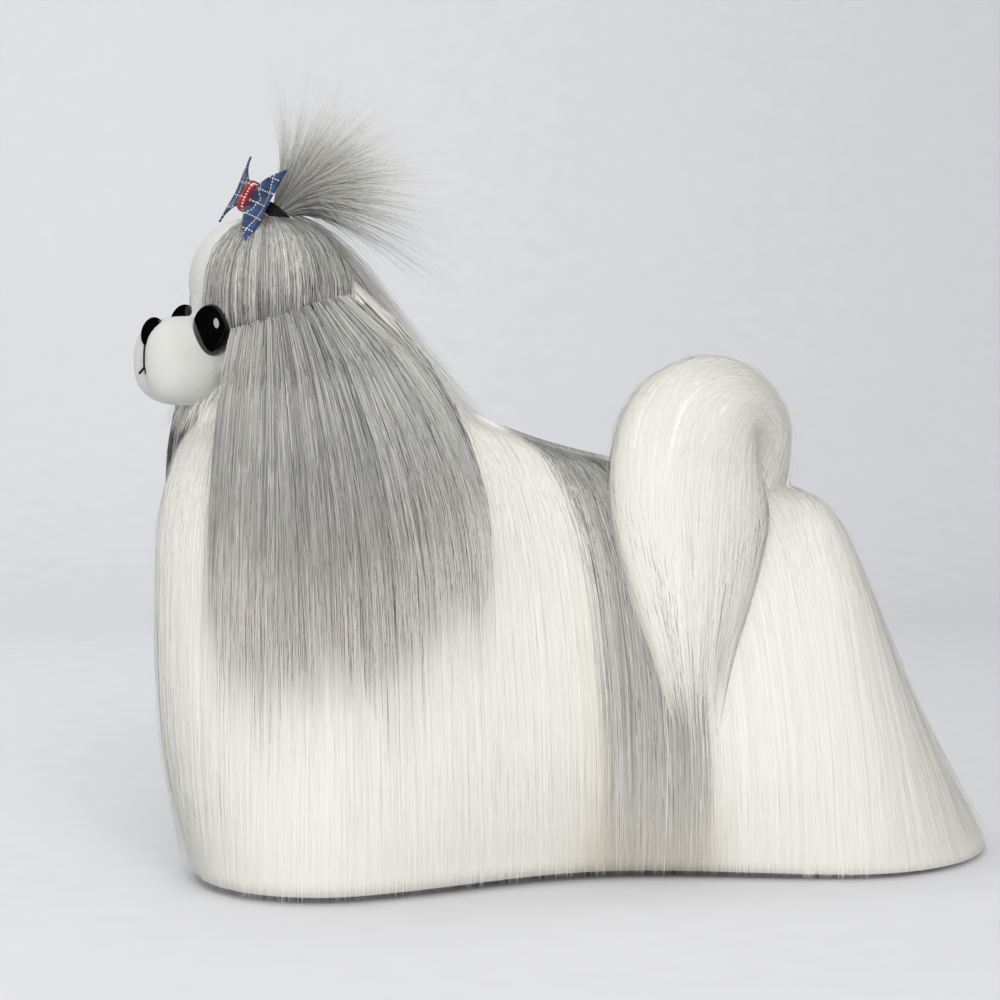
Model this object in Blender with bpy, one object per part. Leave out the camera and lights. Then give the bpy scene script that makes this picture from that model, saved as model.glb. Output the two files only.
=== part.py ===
"""A long-coated shih tzu toy of faux fur, standing, with a tied topknot and a plume tail.

Metres, +Z up. The dog faces -X and its left side faces -Y. The sizes are laid out about the middle of
the body, and the last step moves the model so that its origin is the centre of its footprint.
"""

import math
import random

import bmesh
import bpy
from mathutils import Matrix, Vector

MM = 0.001
GAP = 0.3 * MM
SEED = 7

# The combed coat: the line of the spine, and the coat's outline at five stations round one side, each
# from the parting down to the floor as (distance out from the spine line, height) in mm.
FRONT_X = -75 * MM
WAIST_X = 30 * MM
REAR_X = 130 * MM
MERIDIANS = {
    "front": ((22, 203), (52, 191), (67, 160), (70, 114), (67, 52), (55, 3)),
    "shoulder": ((0, 212), (27, 203), (45, 172), (51, 116), (57, 56), (61, 3)),
    "waist": ((0, 177), (26, 169), (41, 143), (47, 102), (48, 52), (44, 8)),
    "haunch": ((0, 161), (27, 153), (44, 129), (56, 90), (66, 44), (71, 3)),
    "rear": ((0, 159), (7, 148), (20, 121), (39, 84), (64, 44), (92, 3)),
}
CHEST_EDGE = 0.46
FORELEG_EDGE = 1.52
TORSO_EDGE = 2.48
REAR_EDGE = 4.0
NECK_Z = 184 * MM
CHEST_TOP_Z = 206 * MM
CORE_DEPTH = 7 * MM
CORE_TOP, CORE_END = 0.1, 0.52

# Each tier of the coat's locks: root and tip down the coat, depth and thickness in mm, spacing in mm and
# how far the tier is set round from the one above.
COAT_TIERS = (
    (0.13, 0.68, 1.9, 5.4, 34, 0.0),
    (0.46, 0.985, 9.2, 5.0, 34, 0.5),
    (0.43, 1.0, 2.9, 5.4, 31, 0.0),
)
# How wide a lock is along its length, as shares of its full width.
LOCK_PROFILE = ((0.0, 0.8), (0.34, 0.97), (0.64, 0.96), (0.86, 0.6))
STRAIGHT_PROFILE = ((0.0, 0.8), (0.42, 0.97), (0.8, 0.72))
SWEEP_PROFILE = ((0.0, 0.9), (0.25, 0.97), (0.55, 0.95), (0.8, 0.9))
TAIL_PROFILE = ((0.0, 0.85), (0.26, 0.97), (0.52, 1.0), (0.78, 0.66))
# Longer than any part of the dog, for cutting blocks.
FAR = 0.3

LEG_RADIUS = 11 * MM
LEG_TOP_Z = 138 * MM
PAW_SIZE = Vector((19, 13, 10)) * MM
FORELEG_AT = Vector((-80, 23, 0)) * MM
HINDLEG_AT = Vector((128, 31, 0)) * MM

# The neck's mane: height, front end, back end and half width of its outline, in mm.
NECK_RINGS = ((266, -98, -84, 8), (256, -106, -66, 20), (242, -112, -52, 29), (227, -118, -40, 35),
              (211, -124, -28, 40), (197, -134, -17, 43), (184.2, -139, -7, 45))

HEAD_PIVOT = Vector((-90, 0, 0)) * MM
HEAD_TURN = math.radians(-4)
FACE_TURN = math.radians(15)
SKULL_AT = Vector((-98, 0, 233)) * MM
SKULL_SIZE = Vector((33, 31, 36)) * MM
FOREHEAD_AT = Vector((-106.3, 0, 245)) * MM
FOREHEAD_SIZE = Vector((23.8, 24, 26.6)) * MM
CHEEK_AT = Vector((-107, 0, 215)) * MM
CHEEK_SIZE = Vector((27, 29, 20)) * MM
MUZZLE_AT = Vector((-132.9, 0, 214)) * MM
MUZZLE_SIZE = Vector((21, 18.5, 18)) * MM
MUZZLE_ROUND = 2.7
SEAM_DEPTH = 3.2 * MM
SEAM_WIDTH = 6 * MM
MUZZLE_CUT_X = -120 * MM
BROW_Z = 229 * MM

EYE_AT = Vector((-126.2, 14.6, 226.4)) * MM
EYE_SIZE = Vector((6.5, 8.2, 10.4)) * MM
EYE_TURN = math.radians(30)
NOSE_AT = Vector((-147.6, 0, 225.6)) * MM
NOSE_SIZE = Vector((3.8, 6.2, 6.2)) * MM
NOSE_TILT = math.radians(20)
THREAD_RADIUS = 0.6 * MM

BAND_AT = Vector((-94.3, 0, 273.5)) * MM
BAND_RADIUS = 5.4 * MM
BAND_THREAD = 1.9 * MM
BAND_AXIS = Vector((0.64, 0, 0.77))
STEM_RADIUS = 3 * MM
STEM_HALF = 9 * MM

PLUME_DIRECTION = Vector((0.77, 0, 0.64))
PLUME_LENGTH = 65 * MM
PLUME_FAN = 1.35
PLUME_SPREAD = 0.5

BOW_AT = Vector((-105.4, -2, 280.3)) * MM
BOW_ACROSS = Vector((0.31, -0.93, -0.2))
BOW_UP = Vector((0.39, 0.08, 0.92))
WING_OUTLINE = ((3, -6), (10, -10), (18, -16), (16, 0), (18, 16), (10, 10), (3, 6))
WING_THICKNESS = 2.4 * MM
KNOT_SIZE = Vector((4, 7, 3.6)) * MM

EAR_ROOT = (Vector((-115.5, 31, 227)) * MM, Vector((-72, 31, 240)) * MM)
EAR_TIPS = ((-127, 108), (-112, 92), (-85, 82), (-52, 92), (-19, 122))
EAR_FALL = ((0, 33), (0.2, 45), (0.45, 52.5), (0.7, 56), (1, 57.5))
EAR_TUCK = 11 * MM
EAR_THICKNESS = 4 * MM

# The tail's line from its root over the back and down the left side, and its sizes there in mm: to the
# outside of its arch, to the inside, and half through.
TAIL_LINE = ((110, 0, 146), (111, -1, 166), (105, -5, 181), (92, -14, 186), (79, -28, 176), (71, -42, 152),
             (66, -53, 122), (62, -64, 90))
TAIL_SIZES = ((15, 14, 14), (17, 14, 17), (25, 14, 21), (32, 17, 23), (37, 26, 21), (36, 33, 16),
              (25, 24, 12), (5, 5, 4))
TAIL_LOCKS = 7
TAIL_SPACE = 3.4 * MM

FACE_WHITE = (0.86, 0.85, 0.82)
COAT_WHITE = (0.88, 0.87, 0.83)
COAT_GREY = (0.42, 0.42, 0.42)
PLASTIC_BLACK = (0.01, 0.01, 0.012)
THREAD_BLACK = (0.012, 0.012, 0.014)
ELASTIC_BLACK = (0.015, 0.015, 0.015)
RIBBON_BLUE = (0.04, 0.1, 0.24)
RIBBON_RED = (0.4, 0.02, 0.03)


def material(name, colour, roughness):
    """A plain Principled finish."""
    made = bpy.data.materials.new(name)
    made.use_nodes = True
    shader = made.node_tree.nodes["Principled BSDF"]
    shader.inputs["Base Color"].default_value = (*colour, 1)
    shader.inputs["Roughness"].default_value = roughness
    shader.inputs["Metallic"].default_value = 0
    return made


def new_object(name, bm, collection):
    """The bmesh as an object, its faces pointing out."""
    bmesh.ops.recalc_face_normals(bm, faces=bm.faces)
    mesh = bpy.data.meshes.new(name)
    bm.to_mesh(mesh)
    bm.free()
    obj = bpy.data.objects.new(name, mesh)
    collection.objects.link(obj)
    return obj


def through(points, t):
    """The point at t, from 0 to 1, on a smooth curve through evenly spaced points."""
    last = len(points) - 1
    place = min(max(t, 0.0), 1.0) * last
    i = min(int(place), last - 1)
    f = place - i
    p1, p2 = Vector(points[i]), Vector(points[i + 1])
    p0 = Vector(points[i - 1]) if i > 0 else 2 * p1 - p2
    p3 = Vector(points[i + 2]) if i + 2 <= last else 2 * p2 - p1
    return 0.5 * (2 * p1 + (p2 - p0) * f + (2 * p0 - 5 * p1 + 4 * p2 - p3) * f * f
                  + (3 * p1 - p0 - 3 * p2 + p3) * f ** 3)


def loft(name, rings, collection):
    """A closed body over rings of points. A ring of one point is a tip, and an end ring is capped."""
    bm = bmesh.new()
    made = [[bm.verts.new(p) for p in ring] for ring in rings]
    for low, high in zip(made, made[1:]):
        for i in range(max(len(low), len(high))):
            corners = (low[i % len(low)], low[(i + 1) % len(low)],
                       high[(i + 1) % len(high)], high[i % len(high)])
            bm.faces.new(list(dict.fromkeys(corners)))
    for ring in (made[0], made[-1]):
        if len(ring) in (3, 4):
            bm.faces.new(ring)
        elif len(ring) > 4:
            middle = bm.verts.new(sum((v.co for v in ring), Vector()) / len(ring))
            for i, corner in enumerate(ring):
                bm.faces.new((corner, ring[(i + 1) % len(ring)], middle))
    bmesh.ops.triangulate(bm, faces=bm.faces)
    return new_object(name, bm, collection)


def ellipsoid(name, centre, size, collection, turn=Matrix(), segments=20, rings=12):
    """A round body with these half sizes, turned about its own centre."""
    bm = bmesh.new()
    bmesh.ops.create_uvsphere(bm, u_segments=segments, v_segments=rings, radius=1)
    place = Matrix.Translation(centre) @ turn.to_4x4() @ Matrix.Diagonal((*size, 1))
    bmesh.ops.transform(bm, matrix=place, verts=bm.verts)
    return new_object(name, bm, collection)


def tapered_post(name, foot, top, radius, top_radius, collection):
    """An upright round post between two points on one vertical line."""
    bm = bmesh.new()
    height = top.z - foot.z
    bmesh.ops.create_cone(bm, cap_ends=True, segments=8, radius1=radius, radius2=top_radius, depth=height)
    bmesh.ops.translate(bm, vec=foot + Vector((0, 0, height / 2)), verts=bm.verts)
    return new_object(name, bm, collection)


def prism(name, outline, low, high, collection):
    """A block with this outline in plan, between two heights."""
    rings = [[Vector((x, y, z)) for x, y in outline] for z in (low, high)]
    return loft(name, rings, collection)


def lock(name, path, thickness, collection, profile=LOCK_PROFILE):
    """A flat, tapered lock: path(t) gives a point on the lie of the coat, the way out from it and the
    width there. Its section is a low triangle with a ridge on the outside, and it ends in a point.
    """
    rings = []
    for t, share in profile:
        point, out, width = path(t)
        ahead = path(min(t + 0.05, 1))[0] - path(max(t - 0.05, 0))[0]
        across = ahead.cross(out).normalized() * width / 2 * share
        up = out.normalized() * thickness * share ** 0.5
        rings.append([point - across - up * 0.35, point + across - up * 0.35, point + up * 0.65])
    rings.append([path(1)[0]])
    return loft(name, rings, collection)


def evaluated_mesh(obj):
    """The object's mesh with its modifiers applied."""
    graph = bpy.context.evaluated_depsgraph_get()
    return bpy.data.meshes.new_from_object(obj.evaluated_get(graph))


def combine(obj, others, operation):
    """Joins obj with other closed objects, or cuts it by them, and removes the others."""
    group = bpy.data.collections.new("operands")
    bpy.context.scene.collection.children.link(group)
    for other in others:
        for home in list(other.users_collection):
            home.objects.unlink(other)
        group.objects.link(other)
    step = obj.modifiers.new("combine", "BOOLEAN")
    step.operation = operation
    step.operand_type = "COLLECTION"
    step.collection = group
    step.solver = "MANIFOLD"
    bpy.context.view_layer.update()
    mesh = evaluated_mesh(obj)
    obj.modifiers.clear()
    obj.data = mesh
    for other in list(group.objects):
        bpy.data.objects.remove(other)
    bpy.data.collections.remove(group)


def keep_largest(obj):
    """Drops every closed surface of the object but the one with the largest box."""
    bm = bmesh.new()
    bm.from_mesh(obj.data)
    left = set(bm.verts)
    shells = []
    while left:
        shell, edge = set(), [left.pop()]
        while edge:
            vert = edge.pop()
            shell.add(vert)
            near = {e.other_vert(vert) for e in vert.link_edges} & left
            left -= near
            edge.extend(near)
        shells.append(shell)
    def reach(shell):
        spans = [max(v.co[k] for v in shell) - min(v.co[k] for v in shell) for k in range(3)]
        return spans[0] * spans[1] * spans[2]
    shells.sort(key=reach)
    for shell in shells[:-1]:
        bmesh.ops.delete(bm, geom=list(shell), context="VERTS")
    bm.to_mesh(obj.data)
    bm.free()


def node(name, pieces, finish, cutters=(), cell=None):
    """One closed body from a node's pieces, cut clear of its neighbours."""
    base = pieces[0]
    if len(pieces) > 1:
        combine(base, pieces[1:], "UNION")
    if cell is not None:
        combine(base, [cell], "INTERSECT")
    if cutters:
        combine(base, list(cutters), "DIFFERENCE")
    keep_largest(base)
    base.name = name
    base.data.name = name
    base.data.materials.clear()
    base.data.materials.append(finish)
    for face in base.data.polygons:
        face.material_index = 0
    return base


def coat_point(station, v):
    """A point of the combed coat: station runs from 0 at the chest to 4 at the rear, negative on the
    dog's left, and v from 0 at the parting to 1 at the floor."""
    side = -1 if station < 0 else 1
    a = abs(station)
    rows = [through(profile, v) for profile in MERIDIANS.values()]
    reach, height = through(rows, a / 4) * MM
    if a < 1:
        base, angle = FRONT_X, a * math.pi / 2
        ahead = Vector((-math.cos(angle), side * math.sin(angle), 0))
    elif a < 3:
        base = FRONT_X + (a - 1) * (WAIST_X - FRONT_X) if a < 2 else WAIST_X + (a - 2) * (REAR_X - WAIST_X)
        ahead = Vector((0, side, 0))
    else:
        base, angle = REAR_X, (a - 3) * math.pi / 2
        ahead = Vector((math.sin(angle), side * math.cos(angle), 0))
    return Vector((base, 0, height)) + ahead * reach


def coat_normal(station, v):
    """The way out from the coat at that point."""
    step = 0.02
    down = coat_point(station, min(v + step, 1)) - coat_point(station, max(v - step, 0))
    along = coat_point(station + step, v) - coat_point(station - step, v)
    out = down.cross(along).normalized()
    middle = Vector((min(max(coat_point(station, v).x, FRONT_X), REAR_X), 0, 0.1))
    return out if out.dot(coat_point(station, v) - middle) > 0 else -out


def coat_core(name, collection):
    """The body of the coat under its locks, from the parting to about half way down."""
    rows, columns = 4, 40
    rings = []
    for row in range(rows + 1):
        v = CORE_TOP + (CORE_END - CORE_TOP) * row / rows
        ring = []
        for column in range(columns):
            station = -REAR_EDGE + 2 * REAR_EDGE * (column + 0.5) / columns
            ring.append(coat_point(station, v) - coat_normal(station, v) * CORE_DEPTH)
        rings.append(ring)
    return loft(name, rings, collection)


def coat_lock(name, station, half, root, tip, depth, thickness, drift, collection):
    """A lock that leaves the core at its root, bends over and falls along the coat to its tip."""
    def path(t):
        v = root + (tip - root) * t
        s = station + drift * t * t
        sink = depth + (CORE_DEPTH + 2.5 * MM - depth) * max(0.0, 1 - t / bend) ** 2
        out = coat_normal(s, v)
        width = (coat_point(s + half, v) - coat_point(s - half, v)).length
        return coat_point(s, v) - out * sink, out, width
    bend, profile = (0.22, LOCK_PROFILE) if root < 0.3 else (0.42, STRAIGHT_PROFILE)
    return lock(name, path, thickness, collection, profile)


def station_length(station):
    """How far round the coat one unit of station reaches, low down."""
    step = 0.02
    return (coat_point(station + step, 0.8) - coat_point(station - step, 0.8)).length / (2 * step)


def coat_locks(first, last, rng, collection):
    """The tiers of locks between two stations, their places spread evenly round the coat."""
    made = []
    for tier, (start, end, depth, thickness, spacing, offset) in enumerate(COAT_TIERS):
        places, station = 0, first
        while station < last:
            places += 1
            station += spacing * MM / station_length(station)
        step = (last - first) / places
        for i in range(places + (offset > 0)):
            place = first + step * (i + 0.5 - offset)
            if offset and i in (0, places):
                place += step * (0.24 if i == 0 else -0.24)
            half = step * 0.5 * rng.uniform(0.88, 1.0)
            made.append(coat_lock(f"lock_{tier}_{i}", place, half, start + rng.uniform(0, 0.05),
                                  end - rng.uniform(0, 0.03), depth * MM, thickness * MM,
                                  rng.uniform(-0.03, 0.03), collection))
    return made


def wedge_cell(name, side, low, high, collection):
    """The space of one foreleg: beside the chest, ahead of the torso, on its own side of the middle."""
    edge = math.radians(90 * CHEST_EDGE)
    front = Vector((-math.cos(edge), side * math.sin(edge)))
    across = Vector((front.y, -front.x)) * (GAP / 2) * side
    torso_x = FRONT_X + (FORELEG_EDGE - 1) * (WAIST_X - FRONT_X) - GAP / 2
    start = Vector((FRONT_X, side * GAP / 2)) - across
    outline = [Vector((torso_x, side * GAP / 2)), start, start + front * FAR,
               Vector((start.x + front.x * FAR, side * FAR)), Vector((torso_x, side * FAR))]
    return prism(name, outline, low, high, collection)


def chest_cell(name, low, high, grow, collection):
    """The space of the chest: a wedge ahead of the forelegs."""
    edge = math.radians(90 * CHEST_EDGE)
    apex = Vector((FRONT_X - (GAP / 2 - grow) / math.sin(edge) - GAP, 0))
    arm = Vector((-math.cos(edge), math.sin(edge))) * FAR
    outline = [apex, apex + arm, apex + Vector((arm.x, -arm.y))]
    return prism(name, outline, low, high, collection)


def block_cell(name, x_low, x_high, y_low, y_high, low, high, collection):
    """An upright block of space."""
    outline = [Vector(p) for p in ((x_low, y_low), (x_high, y_low), (x_high, y_high), (x_low, y_high))]
    return prism(name, outline, low, high, collection)


def leg(name, at, side, collection):
    """A leg post and its paw, whose sole the cell cuts flat at the floor."""
    place = Vector((at.x, side * at.y, 0))
    post = tapered_post(name + "_post", place + Vector((0, 0, -2 * MM)), place + Vector((0, 0, LEG_TOP_Z)),
                        LEG_RADIUS, LEG_RADIUS * 1.4, collection)
    paw = ellipsoid(name + "_paw", place + Vector((-5, 0, 5)) * MM, PAW_SIZE, collection,
                    segments=10, rings=6)
    return [post, paw]


def turned(obj):
    """The object turned with the head."""
    turn = Matrix.Rotation(HEAD_TURN, 4, "Z")
    obj.data.transform(Matrix.Translation(HEAD_PIVOT) @ turn @ Matrix.Translation(-HEAD_PIVOT))
    return obj


def faced(obj):
    """The object turned with the face, which looks further to the dog's left than its hair is combed."""
    turn = Matrix.Rotation(FACE_TURN, 4, "Z")
    obj.data.transform(Matrix.Translation(SKULL_AT) @ turn @ Matrix.Translation(-SKULL_AT))
    return obj


def blended(rows, t):
    """Rows of numbers blended evenly at t, from 0 to 1."""
    place = min(max(t, 0.0), 1.0) * (len(rows) - 1)
    i = min(int(place), len(rows) - 2)
    f = place - i
    return [low + (high - low) * f for low, high in zip(rows[i], rows[i + 1])]


def neck_point(angle, v):
    """A point of the mane: angle round it from the nape, negative on the dog's left, v from top to foot."""
    height, front, back, half_width = blended(NECK_RINGS, v)
    middle, half_length = (front + back) / 2, (back - front) / 2
    return Vector((middle + half_length * math.cos(angle), half_width * math.sin(angle), height)) * MM


def neck_normal(angle, v):
    """The way out from the mane."""
    step = 0.02
    down = neck_point(angle, min(v + step, 1)) - neck_point(angle, max(v - step, 0))
    along = neck_point(angle + step, v) - neck_point(angle - step, v)
    out = down.cross(along).normalized()
    return out if out.dot(neck_point(angle, v) - Vector((-80, 0, 190)) * MM) > 0 else -out


def neck_pieces(rng, collection):
    """The neck's core and the locks of the mane over it."""
    shrink = 6 * MM
    rings = []
    for row in range(5):
        v = 0.06 + 0.94 * row / 4
        ring = []
        for i in range(20):
            angle = 2 * math.pi * (i + 0.5) / 20
            point = neck_point(angle, v)
            out = neck_normal(angle, v)
            ring.append(point - Vector((out.x, out.y, 0)) * shrink)
        rings.append(ring)
    pieces = [loft("neck_core", rings, collection)]
    for tier, (start, end, lift, angles) in enumerate((
            (0.3, 1.04, -4.6, (-72, -36, 0, 36, 72)),
            (0.12, 0.97, -0.8, (-90, -54, -18, 18, 54, 90)))):
        for i, degrees in enumerate(angles):
            angle = math.radians(degrees)
            root, tip = start + rng.uniform(0, 0.04), end - rng.uniform(0, 0.03)

            def path(t, angle=angle, root=root, tip=tip, lift=lift):
                v = root + (tip - root) * t
                point, out = neck_point(angle, v), neck_normal(angle, v)
                half = math.radians(17.2)
                width = (neck_point(angle + half, v) - neck_point(angle - half, v)).length
                return point + out * MM * (lift - 4 * max(0.0, 1 - t / 0.22) ** 2), out, width
            pieces.append(lock(f"mane_{tier}_{i}", path, 5 * MM, collection))
    return pieces


def head_space(lift, collection):
    """The space that the neck and the chest leave for the head, with so much over the skull."""
    grow = Vector((lift, lift, lift))
    small = Vector((GAP, GAP, GAP)) * 2
    return [turned(ellipsoid("skull_space", SKULL_AT, SKULL_SIZE + grow, collection, segments=18, rings=10)),
            turned(ellipsoid("cheek_space", CHEEK_AT, CHEEK_SIZE + small, collection, segments=18, rings=10)),
            turned(muzzle_form("muzzle_space", small, collection))]


def ear_half_width(t):
    """How far out from the dog's middle the ear's fall lies, t down its length."""
    for (t0, y0), (t1, y1) in zip(EAR_FALL, EAR_FALL[1:]):
        if t <= t1:
            return (y0 + (y1 - y0) * (t - t0) / (t1 - t0)) * MM
    return EAR_FALL[-1][1] * MM


def ear_point(s, t, side):
    """A point of the ear's fall: s runs from its front edge to its back, t from the root to the tips."""
    root = EAR_ROOT[0].lerp(EAR_ROOT[1], s)
    tip_x, tip_z = through(EAR_TIPS, s) * MM
    tip_x += (max(0.0, s - 1) + min(0.0, s)) * 30 * MM
    fan = 1 - (1 - min(t, 1)) ** 2
    drop = t * 0.75 + 0.25 * t * t
    tuck = EAR_TUCK * (max(0.0, 0.45 - s) / 0.45) ** 2 * min(1.0, max(t, 0) / 0.4)
    return Vector((root.x + (tip_x - root.x) * fan, side * (ear_half_width(t) - tuck),
                   root.z + (tip_z - root.z) * drop))


def ear_normal(s, t, side):
    """The way out from the ear's fall."""
    step = 0.03
    down = ear_point(s, t + step, side) - ear_point(s, t - step, side)
    along = ear_point(s + step, t, side) - ear_point(s - step, t, side)
    out = down.cross(along).normalized()
    return out if out.y * side > 0 else -out


def ear_slab(name, side, inner, outer, s_range, t_range, collection, across=6, down=5):
    """A curved slab that follows the ear's fall between two depths."""
    rings = []
    for row in range(down + 1):
        t = t_range[0] + (t_range[1] - t_range[0]) * row / down
        front_to_back = [s_range[0] + (s_range[1] - s_range[0]) * i / across for i in range(across + 1)]
        under = [ear_point(s, t, side) + ear_normal(s, t, side) * inner for s in front_to_back]
        over = [ear_point(s, t, side) + ear_normal(s, t, side) * outer for s in reversed(front_to_back)]
        rings.append(under + over)
    return loft(name, rings, collection)


def ear_spaces(collection):
    """The space that the neighbours leave for the ears."""
    return [turned(ear_slab(f"ear_space_{side}", side, -EAR_THICKNESS - GAP, 40 * MM, (-0.12, 1.12),
                            (-0.06, 1.06), collection)) for side in (-1, 1)]


def ear(name, side, finish, rng, collection):
    """One ear: a soft flap with the long fall of locks over it."""
    pieces = [ear_slab(name, side, -EAR_THICKNESS, -0.4 * MM, (0, 1), (0, 0.2), collection, 4, 2)]
    for layer, (count, lift, thickness) in enumerate(((5, -2.7, 3.0), (6, 0.7, 4.6))):
        for i in range(count):
            s = (i + 0.5) / count if layer == 0 else (i + 0.9) / (count + 0.8)
            tip = 1 - rng.uniform(0, 0.05) - 0.04 * (1 - layer)
            root = 0.02 + rng.uniform(0, 0.02)

            def path(t, s=s, tip=tip, root=root, lift=lift):
                at = root + (tip - root) * t
                out = ear_normal(s, at, side)
                rise = min(1.0, t / 0.2)
                width = (ear_point(s + 0.072, at, side) - ear_point(s - 0.072, at, side)).length
                return ear_point(s, at, side) + out * MM * (lift * rise - 1.4 * (1 - rise)), out, width
            pieces.append(lock(f"{name}_lock_{layer}_{i}", path, thickness * MM, collection))
    turned(node(name, pieces, finish, [eye_space(side, collection)]))


def skull_point(angle, rise, lift):
    """A point over the skull, and the way out: angle round it from the front, rise from 0 to 1 at the top."""
    tilt = rise * math.pi / 2
    out = Vector((-math.cos(angle) * math.cos(tilt), math.sin(angle) * math.cos(tilt), math.sin(tilt)))
    size = SKULL_SIZE
    return SKULL_AT + Vector((out.x * size.x, out.y * size.y, out.z * size.z)) + out * lift, out


def topknot_sweep(side, rng, collection):
    """The long hair of one side of the head, combed up from the ear line to the band."""
    made = []
    for i, degrees in enumerate((60, 93, 126, 159)):
        angle = side * math.radians(degrees)

        def path(t, angle=angle):
            lift = 4.4 * MM * math.sin(math.pi * min(0.12 + 0.88 * t, 1)) - 1 * MM
            point, out = skull_point(angle, min(0.02 + 0.93 * t, 0.95), lift)
            gather = max(0.0, t - 0.55) / 0.45
            target = BAND_AT - BAND_AXIS * 4 * MM + out * 2 * MM
            width = 19 * MM * math.cos(min(0.02 + 0.93 * t, 0.8) * math.pi / 2) + 1 * MM
            return point.lerp(target, gather * gather * 0.8), out, width
        made.append(lock(f"sweep_{side}_{i}", path, 4 * MM, collection, SWEEP_PROFILE))
    return made


def eye_ball(name, side, collection, grow=0.0, segments=14, rings=8):
    """The glossy oval eye, or with grow a larger one. It looks forward and out to its side."""
    centre = Vector((EYE_AT.x, side * EYE_AT.y, EYE_AT.z))
    turn = Matrix.Rotation(-side * EYE_TURN, 3, "Z")
    size = EYE_SIZE + Vector((grow, grow, grow))
    return faced(ellipsoid(name, centre, size, collection, turn, segments, rings))


def eye_space(side, collection):
    """The socket that an eye sits in, clear of it."""
    return eye_ball("eye_space", side, collection, 2.4 * GAP, 12, 8)


def nose_button(name, grow, collection):
    """The nose: a rounded button, wider at its top."""
    bm = bmesh.new()
    bmesh.ops.create_uvsphere(bm, u_segments=14, v_segments=8, radius=1)
    for vert in bm.verts:
        vert.co.y *= 1 - 0.34 * max(0.0, -vert.co.z)
    size = NOSE_SIZE + Vector((grow, grow, grow))
    place = Matrix.Translation(NOSE_AT) @ Matrix.Rotation(NOSE_TILT, 4, "Y") @ Matrix.Diagonal((*size, 1))
    bmesh.ops.transform(bm, matrix=place, verts=bm.verts)
    return faced(new_object(name, bm, collection))


def muzzle_dent(y, front):
    """How far the stitched seam draws the muzzle in at this width, front being 1 on its front."""
    return SEAM_DEPTH * math.exp(-(y / SEAM_WIDTH) ** 2) * max(0.0, front) ** 2


def muzzle_surface(y, z):
    """The muzzle's front at this width and height."""
    n = MUZZLE_ROUND
    flat = abs(y / MUZZLE_SIZE.y) ** n + abs((z - MUZZLE_AT.z) / MUZZLE_SIZE.z) ** n
    front = max(0.0, 1 - flat) ** (1 / n)
    return Vector((MUZZLE_AT.x - MUZZLE_SIZE.x * front + muzzle_dent(y, front), y, z))


def muzzle_form(name, grow, collection):
    """The blunt muzzle, two rounded lips with the stitched seam drawn in between them."""
    bm = bmesh.new()
    bmesh.ops.create_uvsphere(bm, u_segments=20, v_segments=12, radius=1)
    bmesh.ops.rotate(bm, verts=bm.verts, matrix=Matrix.Rotation(math.pi / 2, 3, "X"))
    for vert in bm.verts:
        vert.co /= sum(abs(c) ** MUZZLE_ROUND for c in vert.co) ** (1 / MUZZLE_ROUND)
    place = Matrix.Translation(MUZZLE_AT) @ Matrix.Diagonal((*(MUZZLE_SIZE + grow), 1))
    for vert in bm.verts:
        front = -vert.co.x
        vert.co = place @ vert.co
        vert.co.x += muzzle_dent(vert.co.y, front)
    return faced(new_object(name, bm, collection))


def muzzle_space(collection):
    """The space that the head leaves for the muzzle, under the brow."""
    space = muzzle_form("muzzle_space", Vector((GAP, GAP, GAP)), collection)
    ahead = block_cell("ahead", -FAR, MUZZLE_CUT_X + GAP / 2, -FAR, FAR, 0, FAR * 2, collection)
    combine(space, [ahead], "INTERSECT")
    jaw = block_cell("jaw_space", -FAR, MUZZLE_CUT_X + GAP / 2, -FAR, FAR, 0, BROW_Z, collection)
    return [space, jaw]


def tube(name, points, radius, collection, steps=1, cyclic=False):
    """A round thread through points, as a closed mesh, its quarter rounded in this many steps more."""
    curve = bpy.data.curves.new(name, "CURVE")
    curve.dimensions = "3D"
    curve.bevel_depth = radius
    curve.bevel_resolution = steps
    curve.use_fill_caps = True
    spline = curve.splines.new("POLY")
    spline.use_cyclic_u = cyclic
    spline.points.add(len(points) - 1)
    for target, point in zip(spline.points, points):
        target.co = (*point, 1)
    guide = bpy.data.objects.new(name, curve)
    collection.objects.link(guide)
    bpy.context.view_layer.update()
    bm = bmesh.new()
    bm.from_mesh(evaluated_mesh(guide))
    bmesh.ops.remove_doubles(bm, verts=bm.verts, dist=1e-5)
    bpy.data.objects.remove(guide)
    return new_object(name, bm, collection)


def mouth_threads(radius, steps, collection):
    """The stitched mouth: down from under the nose, then out to each side."""
    down = [muzzle_surface(0, (219.5 - 3.8 * i) * MM) for i in range(3)]
    arms = []
    for side, share in ((-1, 1), (1, 0.96)):
        out = [muzzle_surface(side * 2.6 * (i + 1) * MM, (210.2 - 1.7 * i) * MM) for i in range(2)]
        arms.append(faced(tube(f"mouth_{side}", down + out, radius * share, collection, steps)))
    return arms


def bow_frame():
    """The bow's place: across it, out from it and up it."""
    across = BOW_ACROSS.normalized()
    out = BOW_UP.cross(across).normalized()
    up = across.cross(out)
    return Matrix.Translation(BOW_AT) @ Matrix((across, out, up)).transposed().to_4x4()


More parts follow.
